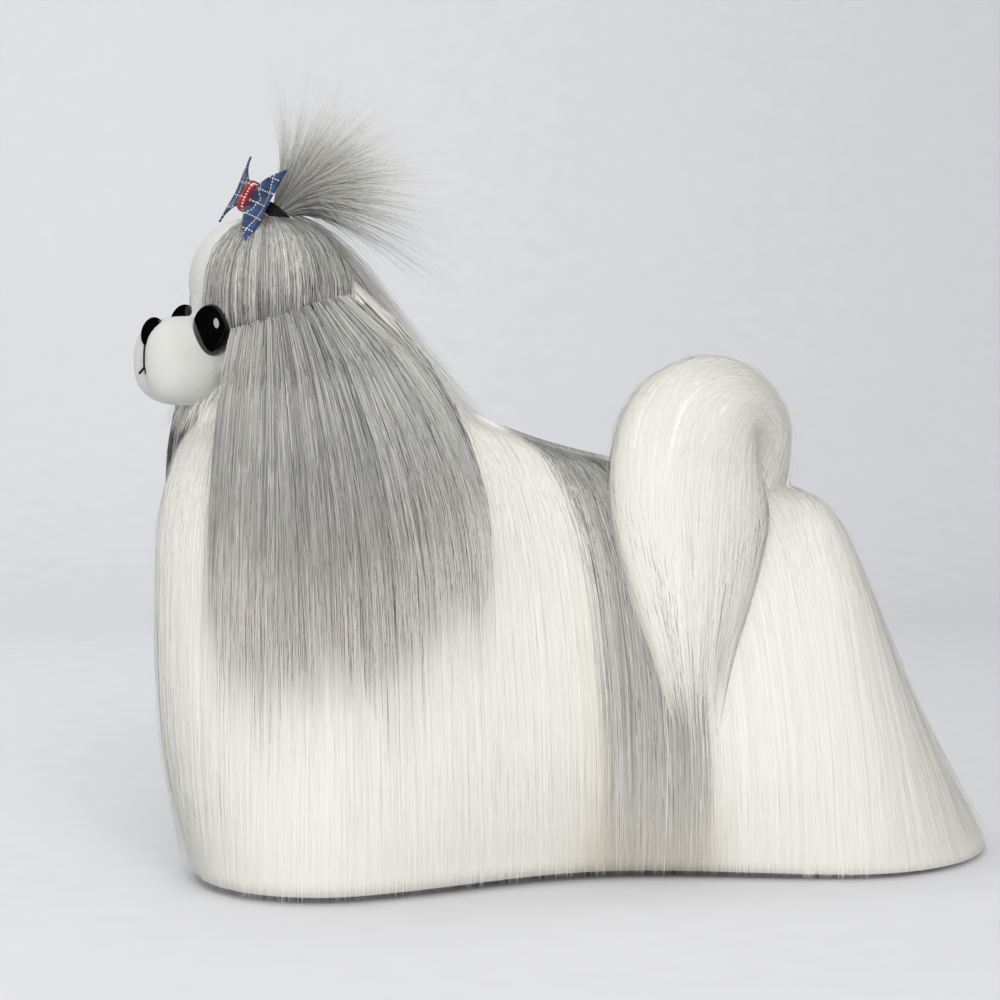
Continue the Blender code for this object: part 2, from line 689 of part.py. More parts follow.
def bow_wing_form(name, side, grow, collection):
    """One wing of the bow, its end cut to two points, or with grow the space round it."""
    bm = bmesh.new()
    depth = WING_THICKNESS + 2 * grow
    for across, up in WING_OUTLINE:
        out = Vector((across - 11, 0, up * 0.8))
        away = Vector((side * out.x, 0, out.z)).normalized()
        bm.verts.new(Vector((side * across, 0, up)) * MM + away * grow * 1.5)
    bm.faces.new(bm.verts)
    made = bmesh.ops.extrude_face_region(bm, geom=bm.faces[:])
    top = [v for v in made["geom"] if isinstance(v, bmesh.types.BMVert)]
    bmesh.ops.translate(bm, verts=top, vec=(0, depth, 0))
    bmesh.ops.recalc_face_normals(bm, faces=bm.faces)
    bmesh.ops.bevel(bm, geom=bm.edges[:], offset=0.5 * MM, segments=1, affect="EDGES")
    bmesh.ops.triangulate(bm, faces=bm.faces)
    for vert in bm.verts:
        vert.co.y += 0.09 * max(0.0, abs(vert.co.x) - 4 * MM) - depth / 2
    bmesh.ops.transform(bm, matrix=bow_frame(), verts=bm.verts)
    return new_object(name, bm, collection)


def bow_knot_form(name, grow, collection):
    """The knot's rounded block."""
    bm = bmesh.new()
    bmesh.ops.create_uvsphere(bm, u_segments=12, v_segments=8, radius=1)
    for vert in bm.verts:
        vert.co /= sum(abs(c) ** 3.5 for c in vert.co) ** (1 / 3.5)
    size = KNOT_SIZE + Vector((grow, grow, grow))
    scale = Matrix.Diagonal((size.x, size.z, size.y, 1))
    bmesh.ops.transform(bm, matrix=bow_frame() @ scale, verts=bm.verts)
    return new_object(name, bm, collection)


def band_ring(name, grow, collection):
    """The elastic band round the gathered hair."""
    axis = BAND_AXIS.normalized()
    side = Vector((0, 1, 0))
    ahead = side.cross(axis)
    points = [BAND_AT + (ahead * math.cos(a) + side * math.sin(a)) * BAND_RADIUS
              for a in (2 * math.pi * i / 14 for i in range(14))]
    return tube(name, points, BAND_THREAD + grow, collection, cyclic=True)


def stem(name, grow, low, high, collection):
    """The gathered hair where it passes through the band."""
    bm = bmesh.new()
    radius = STEM_RADIUS + grow
    bmesh.ops.create_cone(bm, cap_ends=True, segments=14, radius1=radius, radius2=radius, depth=high - low)
    axis = BAND_AXIS.normalized()
    turn = Vector((0, 0, 1)).rotation_difference(axis).to_matrix().to_4x4()
    middle = BAND_AT + axis * (low + high) / 2
    bmesh.ops.transform(bm, matrix=Matrix.Translation(middle) @ turn, verts=bm.verts)
    return new_object(name, bm, collection)


def plume_way(angle, fan):
    """The way a lock of the plume points, and the way out from the plume's middle there."""
    main = PLUME_DIRECTION.normalized()
    front = Vector((-main.z, 0, main.x))
    side = Vector((0, 1, 0))
    out = front * math.cos(angle) + side * math.sin(angle)
    way = main + (front * PLUME_FAN * math.cos(angle) + side * PLUME_SPREAD * math.sin(angle)) * fan
    return way.normalized(), out


def topknot_pieces(rng, collection):
    """The stem, the plume's core and its locks."""
    axis = BAND_AXIS.normalized()
    foot = BAND_AT + axis * 3.2 * MM
    pieces = [stem("topknot", 0, -STEM_HALF, STEM_HALF, collection)]
    rings = []
    length = PLUME_LENGTH * 0.42
    for share, fan in ((0.0, 0.0), (0.12, 0.3), (0.4, 0.62), (0.75, 0.78), (0.98, 0.45)):
        ring = []
        for i in range(10):
            way, out = plume_way(2 * math.pi * i / 10, fan)
            ring.append(foot + way * length * share + out * 5.6 * MM * (1 - share) * (0.7 if fan == 0 else 1))
        rings.append(ring)
    pieces.append(loft("plume_core", rings, collection))
    for ring, (count, fan, reach) in enumerate(((8, 0.95, 1.0), (4, 0.5, 0.97))):
        for i in range(count):
            angle = 2 * math.pi * (i + 0.5 * ring) / count
            way, out = plume_way(angle, fan)
            tip = foot + way * PLUME_LENGTH * (reach + rng.uniform(-0.06, 0.06)) - Vector((0, 0, 3 * MM))
            bend = foot + axis * 14 * MM + way * 14 * MM
            start = foot + out * 3.4 * MM

            def path(t, start=start, bend=bend, tip=tip, out=out):
                point = start * (1 - t) ** 2 + bend * 2 * t * (1 - t) + tip * t * t
                return point, out, (6 + 12 * min(1.0, t / 0.5)) * MM
            pieces.append(lock(f"plume_{ring}_{i}", path, 4.5 * MM, collection))
    return pieces


def tail_point(t):
    """The middle of the tail, t from its root to its tip."""
    return through(TAIL_LINE, t) * MM


def tail_axes(t):
    """The way along the tail, and its wide and thin directions."""
    ahead = (tail_point(min(t + 0.03, 1)) - tail_point(max(t - 0.03, 0))).normalized()
    flank = Vector((0, -1, 0.35)).normalized()
    thin = (flank - ahead * flank.dot(ahead)).normalized()
    return ahead, ahead.cross(thin), thin


def tail_surface(t, angle, grow=0.0):
    """A point of the tail's outside and the way out from it, angle round its section."""
    outside, inside, thin = through(TAIL_SIZES, t) * MM
    ahead, wide_way, thin_way = tail_axes(t)
    wide = outside if math.cos(angle) > 0 else inside
    point = (tail_point(t) + wide_way * (wide + grow) * math.cos(angle)
             + thin_way * (thin + grow) * math.sin(angle))
    out = wide_way * math.cos(angle) / wide + thin_way * math.sin(angle) / thin
    return point, out.normalized()


def tail_form(name, start, end, grow, collection, count=14, rows=10):
    """The tail's body between two places on its line, grown outwards by so much."""
    rings = []
    for row in range(rows + 1):
        t = start + (end - start) * row / rows
        rings.append([tail_surface(t, 2 * math.pi * i / count, grow)[0] for i in range(count)])
    return loft(name, rings, collection)


def tail_pieces(rng, collection):
    """The tail's core and the locks that follow it to its tip."""
    pieces = [tail_form("tail", 0, 0.66, -5 * MM, collection, 10, 6)]
    for tier, (start, end) in enumerate(((0.06, 0.62), (0.36, 1.0))):
        for i in range(TAIL_LOCKS):
            angle = 2 * math.pi * (i + 0.5 * tier + 0.25) / TAIL_LOCKS
            root = start + rng.uniform(0, 0.06)
            tip = end - rng.uniform(0, 0.05)
            depth = rng.uniform(1.3, 2.5)

            def path(t, angle=angle, root=root, tip=tip, depth=depth):
                at = root + (tip - root) * t
                half = math.pi / TAIL_LOCKS * 1.02
                point, out = tail_surface(at, angle)
                width = (tail_surface(at, angle + half)[0] - tail_surface(at, angle - half)[0]).length
                return point - out * MM * (depth + 6 * max(0.0, 1 - t / 0.22) ** 2), out, width
            pieces.append(lock(f"tail_{tier}_{i}", path, 5 * MM, collection, TAIL_PROFILE))
    return pieces


def stand_at_origin(parts):
    """Moves the model so that its origin is under the middle of its box, on the floor."""
    points = [vert.co for part in parts for vert in part.data.vertices]
    low = [min(p[k] for p in points) for k in range(3)]
    high = [max(p[k] for p in points) for k in range(3)]
    middle = Vector(((low[0] + high[0]) / 2, (low[1] + high[1]) / 2, low[2]))
    for part in parts:
        part.data.transform(Matrix.Translation(-middle))


def copy_of(obj, name, collection):
    """A second object of the same shape."""
    twin = obj.copy()
    twin.data = obj.data.copy()
    twin.name = name
    collection.objects.link(twin)
    return twin


def body(white, grey, rng, collection):
    """The chest, the four legs and the torso, each with its part of the coat."""
    core = coat_core("core", collection)
    torso_low = FRONT_X + (FORELEG_EDGE - 1) * (WAIST_X - FRONT_X) + GAP / 2
    torso_high = WAIST_X + (TORSO_EDGE - 2) * (REAR_X - WAIST_X) - GAP / 2
    top = NECK_Z - GAP / 2
    pieces = [copy_of(core, "core_piece", collection)] + coat_locks(-CHEST_EDGE, CHEST_EDGE, rng, collection)
    node("chest", pieces, white, ear_spaces(collection) + head_space(GAP * 2, collection),
         chest_cell("cell", 0, CHEST_TOP_Z, 0, collection))
    for side, word in ((-1, "left"), (1, "right")):
        first, last = sorted((side * CHEST_EDGE, side * FORELEG_EDGE))
        pieces = [copy_of(core, "core_piece", collection)] + coat_locks(first, last, rng, collection)
        pieces += leg("foreleg", FORELEG_AT, side, collection)
        node(f"foreleg_{word}", pieces, white, ear_spaces(collection),
             wedge_cell("cell", side, 0, top, collection))
        first, last = sorted((side * TORSO_EDGE, side * REAR_EDGE))
        pieces = [copy_of(core, "core_piece", collection)] + coat_locks(first, last, rng, collection)
        pieces += leg("hindleg", HINDLEG_AT, side, collection)
        y_low, y_high = sorted((side * GAP / 2, side * FAR))
        node(f"hindleg_{word}", pieces, white, [tail_form("tail_space", 0, 1, TAIL_SPACE, collection)],
             block_cell("cell", torso_high + GAP, FAR, y_low, y_high, 0, top, collection))
    pieces = [copy_of(core, "core_piece", collection)]
    for first, last in ((-TORSO_EDGE, -FORELEG_EDGE), (FORELEG_EDGE, TORSO_EDGE)):
        pieces += coat_locks(first, last, rng, collection)
    cutters = ear_spaces(collection) + [tail_form("tail_space", 0, 1, TAIL_SPACE, collection)]
    node("torso", pieces, grey, cutters,
         block_cell("cell", torso_low, torso_high, -FAR, FAR, 0, top, collection))
    bpy.data.objects.remove(core)


def head(white, grey, black, thread, rng, collection):
    """The head, muzzle, eyes, nose and stitched mouth."""
    pieces = [ellipsoid("head", SKULL_AT, SKULL_SIZE, collection, segments=16, rings=10),
              ellipsoid("forehead", FOREHEAD_AT, FOREHEAD_SIZE, collection, segments=16, rings=10),
              ellipsoid("cheeks", CHEEK_AT, CHEEK_SIZE, collection, segments=14, rings=8)]
    for side in (-1, 1):
        pieces += topknot_sweep(side, rng, collection)
    cutters = [eye_space(side, collection) for side in (-1, 1)] + muzzle_space(collection)
    cutters += [band_ring("band_space", GAP, collection),
                stem("stem_space", GAP, -STEM_HALF - GAP, 30 * MM, collection),
                bow_knot_form("knot_space", GAP, collection)]
    for side in (-1, 1):
        cutters.append(bow_wing_form("wing_space", side, GAP, collection))
        cutters.append(ear_slab("ear_space", side, -EAR_THICKNESS - GAP, 40 * MM, (-0.1, 1.1), (-0.04, 0.5),
                                collection))
    turned(node("head", pieces, grey, cutters))
    cutters = [eye_space(side, collection) for side in (-1, 1)]
    cutters.append(nose_button("nose_space", GAP, collection))
    cutters += mouth_threads(THREAD_RADIUS + 1.6 * GAP, 0, collection)
    cell = block_cell("cell", -FAR, MUZZLE_CUT_X - GAP / 2, -FAR, FAR, 0, FAR * 2, collection)
    turned(node("muzzle", [muzzle_form("muzzle", Vector(), collection)], white, cutters, cell))
    for side, word in ((-1, "left"), (1, "right")):
        turned(node(f"eye_{word}", [eye_ball("eye", side, collection)], black))
    turned(node("nose", [nose_button("nose", 0, collection)], black))
    turned(node("mouth_stitch", mouth_threads(THREAD_RADIUS, 1, collection), thread,
                [nose_button("nose_space", GAP, collection)]))


def main():
    for obj in list(bpy.data.objects):
        bpy.data.objects.remove(obj)
    collection = bpy.data.collections.new("shih_tzu_toy")
    bpy.context.scene.collection.children.link(collection)
    rng = random.Random(SEED)
    white = material("white_coat", COAT_WHITE, 0.8)
    grey = material("grey_coat", COAT_GREY, 0.8)
    face = material("white_face", FACE_WHITE, 0.9)
    black = material("black_plastic", PLASTIC_BLACK, 0.1)
    thread = material("black_thread", THREAD_BLACK, 0.6)
    elastic = material("black_elastic", ELASTIC_BLACK, 0.6)
    blue = material("blue_ribbon", RIBBON_BLUE, 0.7)
    red = material("red_ribbon", RIBBON_RED, 0.7)
    body(white, grey, rng, collection)
    cutters = ear_spaces(collection) + head_space(5.6 * MM, collection)
    cutters.append(chest_cell("space", 0, FAR, GAP, collection))
    node("neck", neck_pieces(rng, collection), white, cutters,
         block_cell("cell", -FAR, FAR, -FAR, FAR, NECK_Z + GAP / 2, FAR * 2, collection))
    head(face, grey, black, thread, rng, collection)
    for side, word in ((-1, "left"), (1, "right")):
        ear(f"ear_{word}", side, grey, rng, collection)
    cutters = [band_ring("band_space", GAP, collection), bow_knot_form("knot_space", GAP, collection)]
    cutters += [bow_wing_form("wing_space", side, GAP, collection) for side in (-1, 1)]
    turned(node("topknot", topknot_pieces(rng, collection), grey, cutters))
    turned(node("topknot_band", [band_ring("topknot_band", 0, collection)], elastic))
    turned(node("bow_knot", [bow_knot_form("bow_knot", 0, collection)], red))
    for side, word in ((1, "left"), (-1, "right")):
        wing = bow_wing_form(f"bow_wing_{word}", side, 0, collection)
        turned(node(wing.name, [wing], blue, [bow_knot_form("knot_space", GAP, collection)]))
    node("tail", tail_pieces(rng, collection), white)
    stand_at_origin(collection.objects)


main()
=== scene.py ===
import math

import bmesh
import bpy
import numpy as np
from mathutils import Matrix, Vector
from mathutils.bvhtree import BVHTree
from mathutils.kdtree import KDTree


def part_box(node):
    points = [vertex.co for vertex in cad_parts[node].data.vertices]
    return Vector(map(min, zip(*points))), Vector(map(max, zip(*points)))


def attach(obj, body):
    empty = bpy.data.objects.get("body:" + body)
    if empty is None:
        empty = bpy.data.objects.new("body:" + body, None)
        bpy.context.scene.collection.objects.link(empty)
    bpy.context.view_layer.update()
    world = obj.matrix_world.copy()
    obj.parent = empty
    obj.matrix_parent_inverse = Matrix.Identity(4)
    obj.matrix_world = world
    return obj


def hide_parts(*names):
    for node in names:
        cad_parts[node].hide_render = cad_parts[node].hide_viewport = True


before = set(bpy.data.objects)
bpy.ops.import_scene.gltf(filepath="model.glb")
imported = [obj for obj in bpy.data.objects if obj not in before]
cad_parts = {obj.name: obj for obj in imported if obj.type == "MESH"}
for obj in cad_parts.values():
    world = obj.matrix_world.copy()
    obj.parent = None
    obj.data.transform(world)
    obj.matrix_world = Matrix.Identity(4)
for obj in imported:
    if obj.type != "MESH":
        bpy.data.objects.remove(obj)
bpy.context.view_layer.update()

MM = 0.001
SEED = 11

# The combed coat as the part's source lays it out, in mm about the middle of the body: the spine's
# stations, and the outline of the coat at five of them from the parting to the floor. Under the belly
# loose hair hangs 4 mm lower than the solids.
GAP = 0.3
FRONT_X, WAIST_X, REAR_X = -75, 30, 130
MERIDIANS = np.array((
    ((22, 203), (52, 191), (67, 160), (70, 114), (67, 52), (55, 0.8)),
    ((0, 212), (27, 203), (45, 172), (51, 116), (57, 56), (61, 0.8)),
    ((0, 177), (26, 169), (41, 143), (47, 102), (48, 52), (44, 1.6)),
    ((0, 161), (27, 153), (44, 129), (56, 90), (66, 44), (71, 0.8)),
    ((0, 159), (7, 148), (20, 121), (39, 84), (64, 44), (92, 0.8))), float)
FORELEG_EDGE = 1.52
TORSO_START = FRONT_X + (FORELEG_EDGE - 1) * (WAIST_X - FRONT_X) + GAP / 2
LEG_RADIUS = 11
LEG_TOP = 138
PAW_SIZE = (19, 13, 10)
LEG_PLACES = ((-80, 23), (128, 31))
NECK_RINGS = np.array(((266, -98, -84, 8), (256, -106, -66, 20), (242, -112, -52, 29), (227, -118, -40, 35),
                       (211, -124, -28, 40), (197, -134, -17, 43), (184.2, -139, -7, 45)), float)

HEAD_PIVOT_X = -90
HEAD_TURN = math.radians(-4)
SKULL_AT, SKULL_SIZE = np.array((-98.0, 0, 233)), np.array((33.0, 31, 36))
FACE_TURN = math.radians(15)
FOREHEAD_AT, FOREHEAD_SIZE = np.array((-106.3, 0, 245)), np.array((23.8, 24, 26.6))
CHEEK_AT, CHEEK_SIZE = np.array((-107.0, 0, 215)), np.array((27.0, 29, 20))
MUZZLE_AT, MUZZLE_SIZE = np.array((-132.9, 0, 214)), np.array((21.0, 18.5, 18))
MUZZLE_ROUND = 2.7
SEAM_DEPTH, SEAM_WIDTH = 3.2, 6
EYE_AT, EYE_SIZE = np.array((-128.1, 15.7, 226.4)), np.array((6.5, 8.2, 10.4))
EYE_TURN = math.radians(30)
EYE_DENT = 2.4
NOSE_AT, NOSE_SIZE = np.array((-147.6, 0, 225.6)), np.array((3.8, 6.2, 6.2))
NOSE_TILT = math.radians(20)

BAND_AT = np.array((-94.3, 0, 273.5))
BAND_AXIS = np.array((0.64, 0, 0.77)) / math.hypot(0.64, 0.77)
BAND_RADIUS, STEM_RADIUS = 5.4, 3
PLUME_DIRECTION = np.array((0.77, 0, 0.64)) / math.hypot(0.64, 0.77)
PLUME_LENGTH = 65
BOW_AT = Vector((-105.4, -2, 280.3))
BOW_ACROSS = Vector((0.31, -0.93, -0.2))
BOW_UP = Vector((0.39, 0.08, 0.92))
KNOT_SIZE = (2.9, 6.8, 3.4)

EAR_ROOT = np.array(((-115.5, 31, 227), (-72, 31, 240)))
EAR_TIPS = np.array(((-127, 108), (-112, 92), (-85, 82), (-52, 92), (-19, 122)), float)
EAR_FALL = np.array(((0, 33), (0.2, 45), (0.45, 52.5), (0.7, 56), (1, 57.5)), float)
EAR_TUCK = 11
FAR_EAR_SWING = 12

TAIL_LINE = np.array(((110, 0, 146), (111, -1, 166), (105, -5, 181), (92, -14, 186), (79, -28, 176),
                      (71, -42, 152), (68, -53, 122), (66, -62, 90), (66, -64, 60)), float)
TAIL_SIZES = np.array(((15, 14, 14), (17, 14, 17), (25, 14, 21), (32, 17, 23), (37, 26, 21), (36, 33, 16),
                       (28, 26, 13), (17, 15, 8), (9, 9, 4)), float)
# The way that the flat side of the tail faces, as a unit vector.
TAIL_FLANK = np.array((0.0, -0.9439, 0.3303))

# How far the body's coat is combed back from the way it would fall, in stations.
COMB_BACK = 0.30
CREST_LINE = np.array(((-92, 0, 276), (-76, 0, 268.5), (-61, 0, 253.5), (-44, 0, 228.5), (-28, 0, 208.5),
                       (-7, 0, 187), (14, 0, 177.5)))
COAT_DEPTH = 0.9
CLOTH_DEPTH = 1.2
CURTAIN_DEPTH = 8.0
# The white blaze up the forehead, as angles round the skull.
BLAZE_MIDDLE, BLAZE_HALF = math.radians(-5), math.radians(28)
# Where the points of a hair lie along it: evenly, or close at its root and with a blunt end.
EVEN_PLACES = np.linspace(0, 1, 6)
HEAD_PLACES = np.linspace(0, 1, 7)
COAT_PLACES = np.array((0, 0.1, 0.26, 0.45, 0.68, 0.92, 1))
RING = np.linspace(-math.pi, math.pi, 61)[:-1] + math.pi / 60
# How thick a hair is, as a share of its width.
HAIR_FLATNESS = 0.18
# The side of one hair's patch on the map for baking, as a share of the map.
PATCH = 0.003
# The falls of the body's coat: the first and last station, and how many hairs.
COAT_FALLS = (("chest_coat", -0.55, 0.55, 1650),
              ("shoulder_coat_left", -1.6, -0.5, 2300), ("shoulder_coat_right", 0.5, 1.6, 2300),
              ("side_coat_left", -2.6, -1.55, 2200), ("side_coat_right", 1.55, 2.6, 2200),
              ("rear_coat_left", -4, -2.55, 2600), ("rear_coat_right", 2.55, 4, 2600))
MANE_HAIRS, CREST_HAIRS = 2200, 600
EAR_HAIRS = {-1: 5000, 1: 4500}
DOME_HAIRS, PLUME_HAIRS, TAIL_HAIRS = 4200, 2600, 3900
FACE_TUFTS = 8000
FACE_VOXEL = 0.9

# The frame puts the model's middle at its origin, so every design place moves by this much.
SHIFT = np.array((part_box("torso")[0].x / MM - TORSO_START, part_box("foreleg_left")[1].y / MM + GAP / 2, 0))

CAMERA_AZIMUTH, CAMERA_HEIGHT_ANGLE = math.radians(-15), math.radians(4)
CAMERA_DISTANCE = 1.1
CAMERA_AIM_Z = 0.155
CAMERA_LENS = 94.3


def linear(*screen):
    """A colour given as it looks on screen, from 0 to 255, in the shader's own scale."""
    return tuple((c / 255 / 12.92 if c <= 10 else ((c / 255 + 0.055) / 1.055) ** 2.4) for c in screen)


WHITE_HAIR, SHADED_WHITE_HAIR = linear(238, 238, 231), linear(222, 221, 213)
PALE_GREY_HAIR, DARK_GREY_HAIR = linear(210, 209, 203), linear(76, 76, 74)
TAN_HAIR = linear(214, 202, 182)
PLUSH_WHITE, PLUSH_SHADE = linear(201, 201, 197), linear(193, 193, 188)


class Channel:
    """A shader value that takes Python's own maths."""

    def __init__(self, finish, socket):
        self.finish, self.socket = finish, socket

    def maths(self, operation, *values):
        return self.finish.node("ShaderNodeMath", {"operation": operation}, dict(enumerate(values)))

    def __add__(self, other):
        return self.maths("ADD", self, other)

    def __sub__(self, other):
        return self.maths("SUBTRACT", self, other)

    def __rsub__(self, other):
        return self.maths("SUBTRACT", other, self)

    def __mul__(self, other):
        return self.maths("MULTIPLY", self, other)

    def __truediv__(self, other):
        return self.maths("DIVIDE", self, other)

    def between(self, low, high):
        """0 below low and 1 above high, smooth between them."""
        return self.finish.node("ShaderNodeMapRange", {"interpolation_type": "SMOOTHSTEP"},
                                {"Value": self, "From Min": low, "From Max": high})


class Finish:
    """A material and the shader nodes that it is made of."""

    def __init__(self, name, **constants):
        self.material = bpy.data.materials.new(name)
        self.material.use_nodes = True
        self.tree = self.material.node_tree
        self.shader = self.tree.nodes["Principled BSDF"]
        for socket, value in constants.items():
            self.shader.inputs[socket.replace("_", " ")].default_value = value

    def node(self, kind, settings=(), inputs=(), output=0):
        """One node: its settings first, then the values or links of its sockets."""
        made = self.tree.nodes.new(kind)
        for key, value in dict(settings).items():
            setattr(made, key, value)
        for key, value in dict(inputs).items():
            self.feed(made.inputs[key], value)
        return Channel(self, made.outputs[output])

    def feed(self, socket, value):
        if isinstance(value, Channel):
            self.tree.links.new(value.socket, socket)
        elif isinstance(value, tuple) and socket.type == "RGBA":
            socket.default_value = (*value, 1)
        else:
            socket.default_value = value

    def set(self, **channels):
        for socket, value in channels.items():
            self.feed(self.shader.inputs[socket.replace("_", " ")], value)

    def mix(self, first, second, share):
        """Two colours blended by share."""
        return self.node("ShaderNodeMix", {"data_type": "RGBA"}, {0: share, 6: first, 7: second}, 2)

    def split(self, vector):
        """The three numbers of a vector."""
        return [self.node("ShaderNodeSeparateXYZ", {}, {0: vector}, i) for i in range(3)]

    def join(self, x, y, z):
        return self.node("ShaderNodeCombineXYZ", {}, {0: x, 1: y, 2: z})

    def map(self, name):
        """A map of the mesh, as a vector."""
        return self.node("ShaderNodeUVMap", {"uv_map": name})

    def fur(self):
        """The marks of the mesh: how grey, how tan and how light it is."""
        return self.split(self.node("ShaderNodeAttribute", {"attribute_name": "fur"}, {}, 1))

    def noise(self, scale, detail, vector=None):
        """Noise over a vector, or over the place on the object in metres."""
        vector = vector or self.node("ShaderNodeTexCoord", {}, {}, 3)
        return self.node("ShaderNodeTexNoise", {}, {"Vector": vector, "Scale": scale, "Detail": detail})

    def bump(self, height, strength, distance):
        self.set(Normal=self.node("ShaderNodeBump", {}, {"Height": height, "Strength": strength,
                                                         "Distance": distance}))


def hair_colour(finish, extra_tone=None):
    """The colour of hair from its marks."""
    grey, warm, tone = finish.fur()
    if extra_tone:
        tone = tone + extra_tone
    light = finish.mix(finish.mix(SHADED_WHITE_HAIR, WHITE_HAIR, tone), TAN_HAIR, warm)
    return finish.mix(light, finish.mix(DARK_GREY_HAIR, PALE_GREY_HAIR, tone), grey)


def long_hair():
    finish = Finish("long_hair", Roughness=0.48, Specular_IOR_Level=0.35)
    finish.set(Base_Color=hair_colour(finish))
    return finish.material


def hair_ground():
    """The cloth under the long hair, with the roots of the pile drawn along its lie."""
    finish = Finish("hair_ground", Roughness=0.8, Specular_IOR_Level=0.0)
    u, v, _ = finish.split(finish.map("lie"))
    pile = finish.noise(1.0, 1, finish.join(u * 420, v * 9, 0))
    finish.set(Base_Color=hair_colour(finish, (pile - 0.5) * 0.6))
    return finish.material


def plush_colour(finish, shade):
    """The face's colour: white, or grey beside the eyes, by its marks and a shade from 0 to 1."""
    grey, _, tone = finish.fur()
    return finish.mix(finish.mix(PLUSH_SHADE, PLUSH_WHITE, shade),
                      finish.mix(DARK_GREY_HAIR, PALE_GREY_HAIR, tone), grey)


def short_plush():
    """The clipped pile's ground on the face."""
    finish = Finish("short_plush", Roughness=0.9, Sheen_Weight=0.2)
    pile = finish.noise(1500, 1)
    patches = finish.noise(120, 1)
    finish.set(Base_Color=plush_colour(finish, pile * 0.4 + patches * 0.6))
    finish.bump(pile, 0.3, 0.0004)
    return finish.material


def plush_tufts():
    """The tiny tufts of the clipped pile."""
    finish = Finish("plush_tufts", Roughness=0.8, Sheen_Weight=0.2)
    patches = finish.noise(120, 2)
    _, _, tone = finish.fur()
    finish.set(Base_Color=plush_colour(finish, tone * 0.5 + patches * 0.6))
    return finish.material


def glossy_black():
    """The moulded eyes and nose."""
    finish = Finish("glossy_black_plastic", Specular_IOR_Level=0.9)
    haze = finish.noise(300, 2)
    finish.set(Base_Color=finish.mix(linear(3, 3, 3), linear(9, 9, 10), haze), Roughness=haze * 0.04 + 0.04)
    return finish.material


def black_thread():
    finish = Finish("black_thread", Roughness=0.55)
    strands = finish.noise(2600, 2)
    finish.set(Base_Color=finish.mix(linear(10, 10, 12), linear(42, 42, 46), strands))
    finish.bump(strands, 0.5, 0.0002)
    return finish.material


def elastic(name, dark, light, rough):
    finish = Finish(name, Roughness=rough)
    place = finish.node("ShaderNodeTexCoord", {}, {}, 3)
    ribs = finish.node("ShaderNodeTexWave", {"bands_direction": "Z"},
                       {"Vector": place, "Scale": 500.0, "Distortion": 1.5})
    finish.set(Base_Color=finish.mix(dark, light, ribs))
    finish.bump(ribs, 0.6, 0.0003)
    return finish.material


def stripe(finish, value, repeat, share):
    """1 over a share of every repeat, 0 between."""
    part = finish.node("ShaderNodeMath", {"operation": "FRACT"}, {0: value / repeat + 50.0})
    return 1 - part.between(share - 0.04, share + 0.04) + part.between(0.97, 1.0)


def plaid(name, ground, second, line):
    """Woven plaid: a ground with broad bands of a second colour, and single threads in white dashes."""
    finish = Finish(name, Roughness=0.75, Sheen_Weight=0.2)
    u, v, _ = finish.split(finish.map("weave"))
    bands = stripe(finish, u, 6.0, 0.42) * 0.55 + stripe(finish, v, 6.0, 0.42) * 0.45
    colour = finish.mix(ground, second, bands)
    for along, over, start in ((u, v, 0.0), (v, u, 1.3)):
        threads = stripe(finish, along + start, 6.0, 0.07) * stripe(finish, over, 1.3, 0.55)
        colour = finish.mix(colour, line, threads * 0.95)
    weave = finish.noise(1.0, 2, finish.join(u * 4, v * 4, 0))
    warp = stripe(finish, u, 0.5, 0.5) * 0.5 + stripe(finish, v, 0.5, 0.5) * 0.5
    shade = weave * 0.5 + warp * 0.2
    finish.set(Base_Color=finish.mix(colour, linear(8, 10, 22), shade * 0.55))
    finish.bump(warp + weave * 0.5, 0.4, 0.0002)
    return finish.material


def studio_paper():
    finish = Finish("studio_paper", Roughness=0.9, Specular_IOR_Level=0.0)
    finish.set(Base_Color=finish.mix(linear(214, 214, 216), linear(218, 218, 220), finish.noise(60, 0)))
    return finish.material


def smooth(x, low, high):
    """0 below low and 1 above high, smooth between them."""
    t = np.clip((x - low) / (high - low), 0, 1)
    return t * t * (3 - 2 * t)


def window(x, low, full, fading, high):
    """1 from full to fading and 0 outside low and high, smooth between them."""
    return smooth(x, low, full) * (1 - smooth(x, fading, high))


def unit(vectors):
    return vectors / np.maximum(np.linalg.norm(vectors, axis=-1, keepdims=True), 1e-9)


def stacked(*values):
    """Values whose shapes fit together, side by side in a last axis."""
    return np.stack(np.broadcast_arrays(*values), -1)


def curve_weights(t, last):
    """The stretch of a curve that t falls on, and the shares of the four points about it."""
    place = np.clip(t, 0, 1) * last
    i = np.minimum(place.astype(int), last - 1)
    f = place - i
    return i, (0.5 * (-f + 2 * f ** 2 - f ** 3), 0.5 * (2 - 5 * f ** 2 + 3 * f ** 3),
               0.5 * (f + 4 * f ** 2 - 3 * f ** 3), 0.5 * (f ** 3 - f ** 2))


def through(points, t):
    """The points at t, from 0 to 1, on a smooth curve through evenly spaced points."""
    ends = np.concatenate([[2 * points[0] - points[1]], points, [2 * points[-1] - points[-2]]])
    i, shares = curve_weights(t, len(points) - 1)
    spread = [share.reshape(share.shape + (1,) * (points.ndim - 1)) for share in shares]
    return sum(share * ends[i + k] for k, share in enumerate(spread))


def through_rows(rows, t):
    """As through, where each place has its own row of points."""
    ends = np.concatenate([2 * rows[:, :1] - rows[:, 1:2], rows, 2 * rows[:, -1:] - rows[:, -2:-1]], 1)
    i, shares = curve_weights(t, rows.shape[1] - 1)
    each = np.arange(len(rows))
    return sum(share[:, None] * ends[each, i + k] for k, share in enumerate(shares))


def swung(points, angle, about):
    """Points turned round the upright through about, or directions with about at 0."""
    c, s = math.cos(angle), math.sin(angle)
    x, y = points[..., 0] - about, points[..., 1]
    return stacked(about + c * x - s * y, s * x + c * y, points[..., 2])


